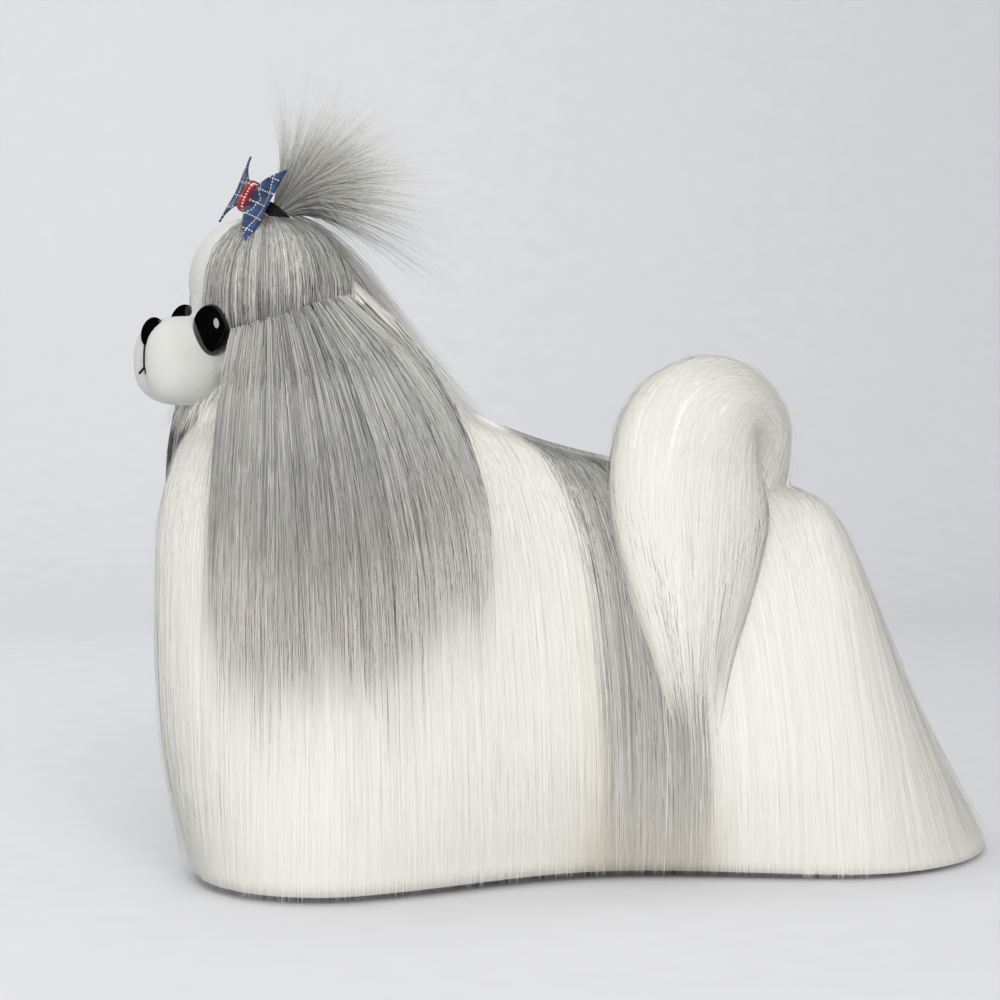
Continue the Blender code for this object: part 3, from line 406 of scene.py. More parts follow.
def turned(points, about=HEAD_PIVOT_X):
    """Points turned with the head, a little to the dog's left, or directions with about at 0."""
    return swung(points, HEAD_TURN, about)


def with_face(points, way=1):
    """Points turned with the face alone, or turned back where way is -1."""
    return swung(points, way * FACE_TURN, SKULL_AT[0])


def with_normals(surface, a, b, centre, step_a=0.02, step_b=0.02):
    """The surface's points, and the way out from centre there."""
    point = surface(a, b)
    along = surface(a + step_a, b) - surface(a - step_a, b)
    down = surface(a, b + step_b) - surface(a, b - step_b)
    out = unit(np.cross(down, along))
    facing = ((point - centre(point)) * out).sum(-1, keepdims=True)
    return point, np.where(facing < 0, -out, out)


def coat_surface(station, v):
    """The combed coat: station from 0 at the chest to 4 at the rear, negative on the left, and v from 0
    at the parting to 1 at the floor."""
    side, a = np.where(station < 0, -1.0, 1.0), np.clip(np.abs(station), 0, 4)
    rows = through(MERIDIANS.transpose(1, 0, 2), v)
    reach, height = through_rows(rows, a / 4).T
    front = np.clip(a, 0, 1) * math.pi / 2
    rear = np.clip(a - 3, 0, 1) * math.pi / 2
    base = np.interp(a, (1, 2, 3), (FRONT_X, WAIST_X, REAR_X))
    way_x = np.where(a < 2, -np.cos(front), np.sin(rear))
    way_y = np.where(a < 2, np.sin(front), np.cos(rear)) * side
    return stacked(base + way_x * reach, way_y * reach, height)


def combed(station, v):
    """The station that a hair from this station has reached, v down the coat."""
    a = np.abs(station)
    share = window(a, 0.9, 1.7, 2.35, 3.3)
    return station + np.sign(station) * COMB_BACK * share * (1 - (1 - np.clip(v, 0, 1)) ** 2.2)


def body_surface(station, v):
    return coat_surface(combed(station, v), v)


def body_middle(points):
    return stacked(np.clip(points[..., 0], FRONT_X, REAR_X), 0, 100)


def body_lie(station, v):
    return with_normals(body_surface, station, v, body_middle)


def neck_surface(angle, v):
    """The mane: angle round the neck from the nape, negative on the left, v from its top to its foot."""
    place = np.clip(v, 0, 1) * (len(NECK_RINGS) - 1)
    i = np.minimum(place.astype(int), len(NECK_RINGS) - 2)
    f = (place - i)[:, None]
    height, front, back, half_width = (NECK_RINGS[i] * (1 - f) + NECK_RINGS[i + 1] * f).T
    middle, reach = (front + back) / 2, (back - front) / 2
    return stacked(middle + reach * np.cos(angle), half_width * np.sin(angle), height)


def neck_lie(angle, v):
    return with_normals(neck_surface, angle, v, lambda points: stacked(-82, 0, points[..., 2] - 25))


def ear_lie(side):
    """The fall of one ear: s from its front edge to its back, t from its root to its tips."""
    def surface(s, t):
        root = EAR_ROOT[0] + (EAR_ROOT[1] - EAR_ROOT[0]) * s[:, None]
        tip_x, tip_z = through(EAR_TIPS, s).T
        tip_x = tip_x + (np.maximum(0, s - 1) + np.minimum(0, s)) * 30
        fan = 1 - (1 - np.minimum(t, 1)) ** 2
        drop = t * 0.75 + 0.25 * t * t
        tuck = EAR_TUCK * (np.maximum(0, 0.45 - s) / 0.45) ** 2 * np.clip(t / 0.4, 0, 1)
        width = np.interp(t, EAR_FALL[:, 0], EAR_FALL[:, 1])
        bulge = np.clip(1 - s, 0, 1) ** 2 * np.sin(math.pi * np.clip(t, 0, 1)) ** 0.7
        swing = FAR_EAR_SWING * (side > 0) * bulge
        return stacked(root[:, 0] + (tip_x - root[:, 0]) * fan - swing, side * (width - tuck),
                       root[:, 2] + (tip_z - root[:, 2]) * drop)

    def lie(s, t):
        point, out = with_normals(surface, s, t, lambda points: points * (1, 0, 1), 0.03, 0.03)
        return turned(point), turned(out, 0)
    return lie


def skull_point(angle, rise, lift):
    tilt = rise * math.pi / 2
    out = stacked(-np.cos(angle) * np.cos(tilt), np.sin(angle) * np.cos(tilt), np.sin(tilt))
    return SKULL_AT + out * SKULL_SIZE + out * lift[..., None], out


def seam_rise(angle):
    """How high on the skull the ear's seam runs, as a share of the way to its top."""
    x = SKULL_AT[0] - SKULL_SIZE[0] * np.cos(angle)
    height = EAR_ROOT[0, 2] + (x - EAR_ROOT[0, 0]) * 0.3
    return (height - SKULL_AT[2]) / SKULL_SIZE[2] * 2 / math.pi


def dome_point(angle, t):
    side = smooth(np.abs(angle - BLAZE_MIDDLE), BLAZE_HALF, math.radians(70))
    lift = 1 + side * (4.6 * np.sin(math.pi * np.clip(0.1 + 0.9 * t, 0, 1)) + 0.6)
    low = seam_rise(angle)
    point, out = skull_point(angle, low + (0.95 - low) * np.clip(t, -0.1, 1), lift)
    from_forehead = point - FOREHEAD_AT
    inside = np.linalg.norm(from_forehead / (FOREHEAD_SIZE + 1.2), axis=-1)
    point = FOREHEAD_AT + from_forehead * np.maximum(1, 1 / inside)[:, None]
    front, back, half_width = (np.interp(-point[:, 2], -NECK_RINGS[:, 0], edge) for edge in NECK_RINGS.T[1:])
    reach = np.clip((point[:, 0] - (front + back) / 2) / ((back - front) / 2), -1, 1)
    over_neck = np.sqrt(1 - reach ** 2) * half_width + 1.4
    behind = smooth(point[:, 0], -92, -80) * smooth(np.abs(point[:, 1]), 4, 12) * (1 - smooth(t, 0.5, 0.9))
    point[:, 1] = np.sign(point[:, 1]) * np.maximum(np.abs(point[:, 1]), over_neck * behind)
    gather = (np.maximum(0, t - 0.5) / 0.5) ** 2 * 0.9
    target = BAND_AT - BAND_AXIS * 3 + out * 2.6
    return point + (target - point) * gather[:, None]


def dome_lie(angle, t):
    """The hair combed up over the head: angle round it from the front, t from the ear line to the band."""
    middle = SKULL_AT + (0, 0, -5)
    point, out = with_normals(dome_point, angle, t, lambda points: middle, 0.04, 0.03)
    return turned(point), turned(out, 0)


def tail_lie(angle, t):
    """The tail: angle round it, 0 on the outside of its arch, and t from its root to its tip."""
    middle = through(TAIL_LINE, t)
    ahead = unit(through(TAIL_LINE, t + 0.03) - through(TAIL_LINE, t - 0.03))
    thin_way = unit(TAIL_FLANK - ahead * (ahead @ TAIL_FLANK)[:, None])
    wide_way = np.cross(ahead, thin_way)
    outside, inside, thin = through(TAIL_SIZES, t).T
    wide = np.where(np.cos(angle) > 0, outside, inside)
    across, through_it = np.cos(angle)[:, None], np.sin(angle)[:, None]
    point = middle + wide_way * wide[:, None] * across + thin_way * thin[:, None] * through_it
    return point, unit(wide_way * across / wide[:, None] + thin_way * through_it / thin[:, None])


def new_object(name, data):
    made = bpy.data.objects.new(name, data)
    bpy.context.scene.collection.objects.link(made)
    return made


def add_mesh(name, points, faces, finish, marks=None, maps=None, normals=None):
    """A mesh in mm of the design as an object of the frame, riding on the body."""
    mesh = bpy.data.meshes.new(name)
    points, faces = np.asarray(points, float), np.asarray(faces)
    mesh.vertices.add(len(points))
    mesh.vertices.foreach_set("co", ((points + SHIFT) * MM).astype(np.float32).ravel())
    corners = faces.shape[1]
    mesh.loops.add(faces.size)
    mesh.loops.foreach_set("vertex_index", faces.astype(np.int32).ravel())
    mesh.polygons.add(len(faces))
    mesh.polygons.foreach_set("loop_start", np.arange(0, faces.size, corners, dtype=np.int32))
    mesh.update(calc_edges=True)
    for map_name, values in (maps or {}).items():
        layer = mesh.uv_layers.new(name=map_name)
        layer.data.foreach_set("uv", values[faces.ravel()].astype(np.float32).ravel())
    if marks is not None:
        attribute = mesh.attributes.new("fur", "FLOAT_VECTOR", "POINT")
        attribute.data.foreach_set("vector", marks.astype(np.float32).ravel())
    mesh.shade_smooth()
    if normals is not None:
        mesh.normals_split_custom_set_from_vertices(normals.astype(np.float32))
    mesh.materials.append(finish)
    obj = new_object(name, mesh)
    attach(obj, "root")
    return obj


def strand_faces(rings):
    """The triangles of one three-sided hair with so many rings and a point."""
    faces = [(0, 1, 2)]
    for ring in range(rings - 1):
        for k in range(3):
            a, b = 3 * ring + k, 3 * ring + (k + 1) % 3
            faces += [(a, b + 3, b), (a, a + 3, b + 3)]
    last = 3 * (rings - 1)
    faces += [(last + k, 3 * rings, last + (k + 1) % 3) for k in range(3)]
    return np.array(faces)


class Draws:
    """Random numbers, one for each of so many hairs."""

    def __init__(self, rng, count):
        self.rng, self.count = rng, count

    def even(self, low=0, high=1):
        return self.rng.uniform(low, high, self.count)

    def some(self, share):
        """True for about that share of the hairs."""
        return self.even() < share

    def each(self, spread):
        """A column of numbers about 0."""
        return self.rng.normal(0, spread, self.count)[:, None]


def add_hairs(name, paths, outs, widths, marks, root_map, finish, lean, shadows=True):
    """Many hairs as one mesh: each is three-sided, follows its path and ends in a point. The light falls
    on it mostly as on the coat that it is part of, by the share lean. Dense white hair lets the light
    through, so it casts no shadows of its own."""
    count, steps = paths.shape[:2]
    rings = steps - 1
    marks = np.broadcast_to(marks, (count, steps, 3))
    ahead = unit(np.gradient(paths, axis=1))
    across = unit(np.cross(ahead, outs))
    up = np.cross(across, ahead)
    turns = np.radians((90, 210, 330))
    around = (across[:, :rings, None] * np.cos(turns)[:, None]
              + up[:, :rings, None] * np.sin(turns)[:, None] * HAIR_FLATNESS)
    rim = paths[:, :rings, None] + around * widths[:, :rings, None, None] / 2
    points = np.concatenate([rim.reshape(count, rings * 3, 3), paths[:, rings:]], 1)
    light = around * (1 - lean) + outs[:, :rings, None] * lean
    normals = np.concatenate([light.reshape(count, rings * 3, 3), outs[:, rings:]], 1)
    per_hair = rings * 3 + 1
    hair_marks = np.concatenate([np.repeat(marks[:, :rings], 3, 1), marks[:, rings:]], 1)
    share = np.append(np.repeat(np.arange(rings), 3), rings) / rings - 0.5
    sideways = np.append(np.tile((-0.5, 0, 0.5), rings), 0)
    patch = np.stack([sideways, share], -1) * PATCH
    bake = root_map[:, None] * (1 - PATCH) + PATCH / 2 + patch
    faces = strand_faces(rings)[None] + (np.arange(count) * per_hair)[:, None, None]
    hairs = add_mesh(name, points.reshape(-1, 3), faces.reshape(-1, 3), finish, hair_marks.reshape(-1, 3),
                     {"OFBake": bake.reshape(-1, 2)}, unit(normals).reshape(-1, 3))
    hairs.visible_shadow = shadows
    return hairs


def hair_paths(lie, start, root, tip, depth, places, draw, comb, root_depth, bend, drift, wave):
    """Paths over a lie: each hair starts deep at its root, rises to its depth and runs to its tip. Its
    place across is moved by the comb and by a drift, which both grow to its tip, and by a slow wave.
    Returns the points, the way out and how far down the lie they are."""
    count, steps = len(start), len(places)
    t = root[:, None] + (tip - root)[:, None] * places
    across = start[:, None] + draw.each(1) * drift * places ** 2
    turns, phase = draw.even(3, 7)[:, None], draw.even(0, 6.3)[:, None]
    across = across + wave * np.sin(places * turns + phase) * places
    across = across + comb[:, None] * places ** 1.5
    point, out = (value.reshape(count, steps, 3) for value in lie(across.ravel(), t.ravel()))
    rise = np.maximum(0, 1 - places / bend) ** 2
    sink = depth[:, None] + (root_depth - depth[:, None]) * rise
    sink = np.where(depth[:, None] < 0, sink * places, sink)
    return point - out * sink[..., None], out, t


def clumps(start, spacing, rng):
    """For each hair the way to the middle of its lock, and a number that its lock shares."""
    cells = np.floor(start / spacing + rng.normal(0, 0.35, len(start))).astype(int)
    cells -= cells.min()
    count = cells.max() + 1
    middles = (np.arange(count) + 0.5 + rng.uniform(-0.3, 0.3, count)) * spacing
    shades = rng.uniform(-1, 1, count)
    return middles[cells] + start.min() - start, shades[cells]


def taper(places, blunt, low=0.9):
    """The share of a hair's full width at its points."""
    return (low + (1 - low) * np.sin(math.pi * places)) * (1 - places ** blunt)


def marks_of(grey, warm, tone):
    return np.clip(stacked(grey, warm, tone), 0, 1)


def body_marks(station, v, stray=0.0):
    """How grey and how tan the body's coat is: a grey saddle, and a tan hem under the belly."""
    a = np.abs(station) + stray
    saddle = window(a, 1.68, 1.78, 2.09, 2.21)
    grey = saddle * (1 - 0.45 * smooth(v, 0.7, 1.0))
    hem = window(a, 1.5, 1.75, 2.15, 2.3) * smooth(v, 0.8, 1.0)
    edge = window(a, 1.6, 1.7, 1.7, 1.82) * smooth(v, 0.3, 0.7)
    warm = 0.02 + 0.4 * hem + 0.3 * saddle * smooth(v, 0.6, 0.95) + 0.25 * edge
    return np.maximum(grey, hem * 0.3), warm


def ear_marks(s, t, stray=0.0):
    """The ears are grey and fade to tan and white at their tips."""
    t = t + stray
    warm = 0.04 + 0.45 * window(t, 0.5, 0.78, 0.85, 1.05)
    return 1 - 0.92 * smooth(t, 0.62, 0.98), warm


def station_places(first, last, count, rng):
    """Stations spread evenly along the coat's hem."""
    stations = np.linspace(first, last, 200)
    points = coat_surface(stations, np.full(200, 0.7))
    reach = np.append(0, np.cumsum(np.linalg.norm(np.diff(points, axis=0), axis=1)))
    return np.interp(rng.uniform(0, reach[-1], count), reach, stations)


def ear_shields():
    """A search tree of both ears' falls, seen from the side, and how far out each place is."""
    s, t = (grid.ravel() for grid in np.meshgrid(np.linspace(0.02, 0.98, 36), np.linspace(0.02, 0.9, 44)))
    shields = {}
    for side in (-1, 1):
        points, _ = ear_lie(side)(s, t)
        tree = KDTree(len(points))
        for i, (x, _, z) in enumerate(points):
            tree.insert((x, 0, z), i)
        tree.balance()
        shields[side] = (tree, np.abs(points[:, 1]))
    return shields


def under_ears(paths, shields, clear=4.5):
    """Hairs pressed in where an ear hangs over them."""
    flat = paths.reshape(-1, 3)
    # Only hair ahead of the waist, out at the side and above the ears' tips can meet them.
    near = (flat[:, 0] < 0) & (flat[:, 2] > 78) & (np.abs(flat[:, 1]) > 20)
    for i in np.flatnonzero(near):
        x, y, z = flat[i]
        tree, widths = shields[-1 if y < 0 else 1]
        _, found, distance = tree.find((x, 0, z))
        limit = widths[found] - clear + max(0.0, distance - 2.5) * 1.4
        flat[i, 1] = math.copysign(min(abs(y), limit), y)
    return flat.reshape(paths.shape)


def body_coat(name, first, last, count, shields, finish, rng):
    """The long hair of the body between two stations, from the parting to the floor."""
    draw = Draws(rng, count)
    start = station_places(first, last, count, rng)
    root = 0.004 + 0.69 * draw.even() ** 1.3
    tip = 1 - 0.035 * draw.even() ** 1.6
    short = draw.some(0.2)
    tip = np.where(short, root + (tip - root) * draw.even(0.45, 0.9), tip)
    depth = COAT_DEPTH * draw.even() ** 1.5
    flyaway = draw.some(0.2)
    depth = np.where(flyaway, -3.4 * draw.even() ** 1.5, depth)
    pull, shade = clumps(start, 0.02, rng)
    paths, outs, t = hair_paths(body_lie, start, root, tip, depth, COAT_PLACES, draw, pull * 0.15,
                                root_depth=CLOTH_DEPTH + 0.3, bend=0.12, drift=0.01, wave=0.002)
    # The two sides meet at the parting, where the light falls on both from above.
    outs = unit(outs + smooth(t, 0.12, 0.0)[..., None] * np.array((0, 0, 1.5)))
    paths = under_ears(paths, shields)
    paths[..., 2] = np.maximum(paths[..., 2], 0.4)
    widths = (draw.even(0.32, 0.5) * np.where(flyaway, 0.6, 1))[:, None] * taper(COAT_PLACES, 9)
    grey, warm = body_marks(start[:, None] + 0 * t, t, draw.each(0.022))
    white_tone = 0.6 + 0.04 * shade[:, None] + draw.each(0.09)
    grey_tone = 0.56 + 0.08 * shade[:, None] + draw.each(0.2) - 0.3 * (1 - smooth(t, 0.0, 0.4))
    tone = white_tone + (grey_tone - white_tone) * smooth(grey, 0.1, 0.5)
    return add_hairs(name, paths, outs, widths, marks_of(grey, warm, tone), stacked((start + 4) / 8, root),
                     finish, 0.9, False)


def crest_hair(rng):
    """The hair that runs back from the band to the mane: its paths, the way out, its place round the neck
    and its root."""
    draw = Draws(rng, CREST_HAIRS)
    root = draw.even(0, 0.42)
    along = root[:, None] + draw.even(0.34, 0.55)[:, None] * EVEN_PLACES
    paths = through(CREST_LINE, along.ravel()).reshape(CREST_HAIRS, len(EVEN_PLACES), 3)
    spread = draw.each(1.15)
    paths[..., 1] += spread * (1.5 + 12 * along)
    paths[..., 2] -= 0.04 * (spread * (1.5 + 12 * along)) ** 2 + draw.even(-0.6, 2.2)[:, None]
    stray = np.where(draw.some(0.3), draw.even(0, 7), 0)[:, None] * EVEN_PLACES
    paths += 0.7 * stray[..., None] * (1, 0, 1)
    return turned(paths), unit(stacked(0.5, 0.12 * spread + 0 * along, 0.85)), 0.2 * spread[:, 0], root


def mane(shields, finish, rng):
    """The white hair that falls from behind the topknot over the nape and the shoulders, and the crest of
    hair that runs back to it from the band."""
    draw = Draws(rng, MANE_HAIRS)
    start = draw.even(-math.pi, math.pi)
    covered = window(np.abs(start), 0.25, 0.6, 1.9, 2.4)
    root = 0.02 + 0.36 * covered + (0.8 - 0.36 * covered) * draw.even() ** 1.2
    tip = np.minimum(root + draw.even(0.35, 0.7), 1.0)
    depth = 1.8 * draw.even() ** 1.3 - 0.4
    depth = np.where(draw.some(0.2), -draw.even(0.5, 6.0), depth)
    pull, _ = clumps(start, 0.03, rng)
    paths, outs, _ = hair_paths(neck_lie, start, root, tip, depth, EVEN_PLACES, draw, pull * 0.3,
                                root_depth=3.2, bend=0.16, drift=0.05, wave=0.01)
    falls = (under_ears(paths, shields), outs, start, root), crest_hair(rng)
    paths, outs, start, root = (np.concatenate(pair) for pair in zip(*falls))
    draw = Draws(rng, len(start))
    widths = draw.even(0.22, 0.36)[:, None] * taper(EVEN_PLACES, 5)
    tone = 0.58 + draw.each(0.14)
    behind_ear = window(np.abs(start), 0.5, 0.9, 1.7, 2.2) * smooth(root, 0.5, 0.2)
    grey = draw.some(0.16 + 0.5 * behind_ear)[:, None] * (0.75 - 0.5 * EVEN_PLACES)
    root_map = stacked(np.clip(start / 2 / math.pi + 0.5, 0, 1), root)
    return add_hairs("mane", paths, outs, widths, marks_of(grey, 0.03, tone), root_map, finish, 0.9, False)


def ear_hair(name, side, finish, rng):
    """The long straight hair of one ear, longest in the middle of its fringe."""
    draw = Draws(rng, EAR_HAIRS[side])
    start = draw.even(-0.02, 1.02)
    start = np.where(draw.some(0.1), 0.97 + 0.07 * np.abs(draw.each(1)[:, 0]), start)
    root = 0.5 * draw.even() ** 1.7 - 0.004
    tip = 1.06 - 0.42 * draw.even() ** 1.3
    tip = np.where(draw.some(0.1), draw.even(1.0, 1.28), tip)
    inner = draw.some(0.22)
    depth = np.where(inner, 3.6 + 1.4 * draw.even(), 1.9 * draw.even() ** 1.3 - 0.5)
    pull, shade = clumps(start, 0.011, rng)
    paths, outs, t = hair_paths(ear_lie(side), start, root, tip, depth, EVEN_PLACES, draw, pull * 0.4,
                                root_depth=1.4, bend=0.06, drift=0.02, wave=0.004)
    outs = np.where(inner[:, None, None], -outs, outs)
    # The far ear shows its front edge, where the light falls from the front.
    front = (side > 0) * smooth(start, 0.45, 0.0)[:, None, None]
    outs = unit(outs + front * turned(np.array((-1.8, -0.25, 0.1)), 0))
    widths = draw.even(0.23, 0.38)[:, None] * taper(EVEN_PLACES, 2.5)
    grey, warm = ear_marks(start[:, None], t, draw.each(0.05))
    middle = np.sin(math.pi * np.clip(start, 0, 1))[:, None] * (1 - smooth(t, 0.55, 0.9))
    tone = 0.48 + 0.09 * shade[:, None] + draw.each(0.15) - 0.12 * middle
    dark_end = draw.some(0.05)[:, None] * smooth(t, 0.6, 0.9)
    marks = marks_of(np.maximum(grey, dark_end), warm, tone - 0.4 * dark_end)
    root_map = np.clip(stacked(start, root), 0, 1)
    return add_hairs(name, paths, outs, widths, marks, root_map, finish, 0.85)


def dome_hair(finish, rng):
    """The hair of the head, combed up from the ear line and the brow to the band."""
    draw = Draws(rng, DOME_HAIRS)
    start = BLAZE_MIDDLE + draw.even(BLAZE_HALF, 2 * math.pi - BLAZE_HALF)
    start = np.where(start > math.pi, start - 2 * math.pi, start)
    root = 0.42 * draw.even() ** 1.5 - 0.08
    tip = 1 - 0.04 * draw.even()
    depth = 2.0 * draw.even() ** 1.2 - 0.2
    pull, shade = clumps(start, 0.03, rng)
    paths, outs, t = hair_paths(dome_lie, start, root, tip, depth, HEAD_PLACES, draw, pull * 0.3,
                                root_depth=2.4, bend=0.1, drift=0.025, wave=0.012)
    narrow = 1 - 0.4 * smooth(t, 0.4, 1.0)
    widths = draw.even(0.2, 0.32)[:, None] * taper(HEAD_PLACES, 6) * narrow
    dark_ends = 0.34 * smooth(t, 0.6, 1.0)
    tone = 0.6 + 0.15 * shade[:, None] + draw.each(0.2) - dark_ends - 0.16 * smooth(t, 0.3, 0.0)
    root_map = stacked(start / 2 / math.pi + 0.5, np.clip(root, 0, 1))
    return add_hairs("combed_head_hair", paths, outs, widths, marks_of(1, 0.03, tone), root_map, finish, 0.85)


def tail_hair(finish, rng):
    """The tail's long hair, from its root over its arch and down in a plume."""
    draw = Draws(rng, TAIL_HAIRS)
    start = draw.even(-math.pi, math.pi)
    root = 0.01 + 0.72 * draw.even()
    tip = np.minimum(root + draw.even(0.22, 0.5), 1.0 - 0.26 * draw.even() ** 1.2)
    flyaway = draw.some(0.16)
    depth = np.where(flyaway, -4.5 * draw.even() ** 1.5, 0.9 * draw.even() ** 1.4)
    pull, _ = clumps(start, 0.04, rng)
    paths, outs, t = hair_paths(tail_lie, start, root, tip, depth, EVEN_PLACES, draw, pull * 0.1,
                                root_depth=1.5, bend=0.12, drift=0.16, wave=0.008)
    # Where the core thins out, loose hair fills the tail.
    middle = through(TAIL_LINE, t.ravel()).reshape(paths.shape)
    fill = np.where(draw.some(0.4), draw.even(0, 0.85), 0)[:, None]
    paths = middle + (paths - middle) * (1 - fill * smooth(t, 0.5, 0.8))[..., None]
    # There the far side's hair shows through, so it is lit as the near side's.
    hidden = (outs @ TAIL_FLANK)[..., None]
    outs = outs - 2 * TAIL_FLANK * np.minimum(hidden, 0) * smooth(t, 0.62, 0.78)[..., None]
    widths = (draw.even(0.32, 0.5) * np.where(flyaway, 0.5, 1))[:, None] * taper(EVEN_PLACES, 3)
    marks = marks_of(0.09, 0.02, 0.3 + draw.each(0.12))
    root_map = stacked(start / 2 / math.pi + 0.5, root)
    return add_hairs("tail_hair", paths, outs, widths, marks, root_map, finish, 0.92, False)


def plume_hair(finish, rng):
    """The topknot's plume: hair that springs from the band, fans up and back, and droops at its tips."""
    count = PLUME_HAIRS
    draw = Draws(rng, count)
    main, axis, side = PLUME_DIRECTION, BAND_AXIS, np.array((0.0, 1, 0))
    front = np.array((-main[2], 0, main[0]))
    swing = np.clip(rng.normal(0.02, 0.5, count), -1.0, 0.95)
    sideways = draw.each(0.36)
    way = unit(main * np.cos(swing)[:, None] + front * np.sin(swing)[:, None] + side * sideways)
    wisp = draw.some(0.08)
    reach = PLUME_LENGTH * (1.34 - 0.92 * draw.even() - 0.1 * np.abs(swing))
    reach = np.where(wisp, PLUME_LENGTH * draw.even(0.85, 1.12), reach)
    foot = BAND_AT + axis * 1.5
    spot = np.clip(swing / 0.95, -1, 1)[:, None] * np.cross(axis, side) + np.clip(sideways, -1, 1) * side
    start = foot + spot * BAND_RADIUS * 0.55
    droop = np.array((0.35, 0, -1)) * (draw.even(3, 10) + 8 * smooth(swing, 0.7, -0.7))[:, None]
    tip = foot + way * reach[:, None] + droop + rng.normal(0, 1.5, (count, 3))
    bend = foot + axis * 13 + way * draw.even(12, 24)[:, None] + rng.normal(0, 0.8, (count, 3))
    f = HEAD_PLACES[:, None]
    paths = start[:, None] * (1 - f) ** 2 + bend[:, None] * 2 * f * (1 - f) + tip[:, None] * f ** 2
    curl = np.where(wisp, 1.8, 0.8)[:, None, None]
    ripple = np.sin(f * rng.uniform(4, 10, (count, 1, 1)) + rng.uniform(0, 6.3, (count, 1, 1)))
    paths = paths + ripple * rng.normal(0, 1, (count, 1, 3)) * curl * f
    outs = np.repeat(unit(spot + np.array((-0.15, -0.5, 0.5)))[:, None], len(f), 1)
    widths = (draw.even(0.18, 0.3) * np.where(wisp, 0.6, 1))[:, None] * taper(HEAD_PLACES, 1.3)
    tone = 0.3 + 0.44 * smooth(HEAD_PLACES, 0.0, 0.7) + draw.each(0.17)
    tone = np.where(wisp[:, None], 0.1 + 0.2 * HEAD_PLACES, tone)
    grey = np.where(wisp[:, None], 1, 1 - 0.3 * smooth(HEAD_PLACES, 0.3, 0.9))
    root_map = stacked(np.clip(swing / 2.2 + 0.5, 0, 1), np.clip(sideways[:, 0] / 3 + 0.5, 0, 1))
    return add_hairs("topknot_plume", turned(paths), turned(outs, 0), widths, marks_of(grey, 0.04, tone),
                     root_map, finish, 0.6)


def grid_faces(rows, columns, closed=True):
    """Quads over rows of points, each row a ring or an open line."""
    faces = []
    for row in range(rows - 1):
        for i in range(columns if closed else columns - 1):
            a, b = row * columns + i, row * columns + (i + 1) % columns
            faces.append((a, b, b + columns, a + columns))
    return faces


def triangles_of(quads):
    return [half for a, b, c, d in quads for half in ((a, b, c), (a, c, d))]


def sheet_faces(rows, columns, flipped=False):
    """The triangles of a closed sheet: a grid, its back, whose points follow the grid's, and the rim."""
    size = rows * columns
    front = [face[::-1] if flipped else face for face in grid_faces(rows, columns, False)]
    back = [tuple(i + size for i in face[::-1]) for face in front]
    edge = (list(range(columns)) + [row * columns + columns - 1 for row in range(1, rows)]
            + [size - 1 - i for i in range(1, columns)] + [row * columns for row in range(rows - 2, 0, -1)])
    pairs = zip(edge, edge[1:] + edge[:1])
    rim = [(a, b, b + size, a + size) if flipped else (b, a, a + size, b + size) for a, b in pairs]
    return np.array(triangles_of(front + back + rim))


def skin_of(lie, across, down, depth, mark):
    """The cloth under a coat, as rings over its lie, each set in by its depth. A strip from the left of each
    end ring to its right closes it."""
    columns, rows = len(across), len(down)
    a, t = np.tile(across, rows), np.repeat(down, columns)
    points, out = lie(a, t)
    points = points - out * np.repeat(np.broadcast_to(depth, rows), columns)[:, None]
    faces = grid_faces(rows, columns)
    grey, warm = mark(a, t)
    lowest, highest = across.min(), across.max()
    first = (rows - 1) * columns
    for i in range(columns // 2 - 1):
        faces.append((i + 1, i, columns - 1 - i, columns - 2 - i))
        faces.append((first + i, first + i + 1, first + columns - 2 - i, first + columns - 1 - i))
    return (points, np.array(triangles_of(faces)), marks_of(grey, warm, 0.5 + 0 * t),
            stacked((a - lowest) / (highest - lowest), t))


def plain_marks(angle, t):
    """The marks of white cloth."""
    return 0, 0.02


def joined(pieces):
    """Several meshes as one. Each has points, triangles and values of its points."""
    starts = np.cumsum([0] + [len(points) for points, *_ in pieces[:-1]])
    moved = [(points, triangles + start, *rest) for start, (points, triangles, *rest) in zip(starts, pieces)]
    return [np.concatenate(part) for part in zip(*moved)]


def ball(centre, size, turn=np.eye(3), columns=24, rows=14, power=2.0):
    """A round body as points and triangles, closed at both poles, turned about its own centre."""
    angle = np.arange(columns) / columns * 2 * math.pi
    tilt = (np.arange(1, rows) / rows - 0.5) * math.pi
    ring = np.stack([np.outer(np.cos(tilt), np.cos(angle)), np.outer(np.cos(tilt), np.sin(angle)),
                     np.outer(np.sin(tilt), np.ones(columns))], -1).reshape(-1, 3)
    points = np.concatenate([ring, [(0, 0, -1), (0, 0, 1)]])
    if power != 2:
        points = points / (np.abs(points) ** power).sum(-1, keepdims=True) ** (1 / power)
    triangles = triangles_of(grid_faces(rows - 1, columns))
    south, north, last = len(ring), len(ring) + 1, (rows - 2) * columns
    for i in range(columns):
        j = (i + 1) % columns
        triangles += [(j, i, south), (last + i, last + j, north)]
    return points * size @ np.asarray(turn).T + centre, np.array(triangles)


def plain_piece(points, triangles):
    """A mesh with white marks and an empty map, ready to be joined to others."""
    return points, triangles, np.tile((0.0, 0.05, 0.5), (len(points), 1)), np.zeros((len(points), 2))


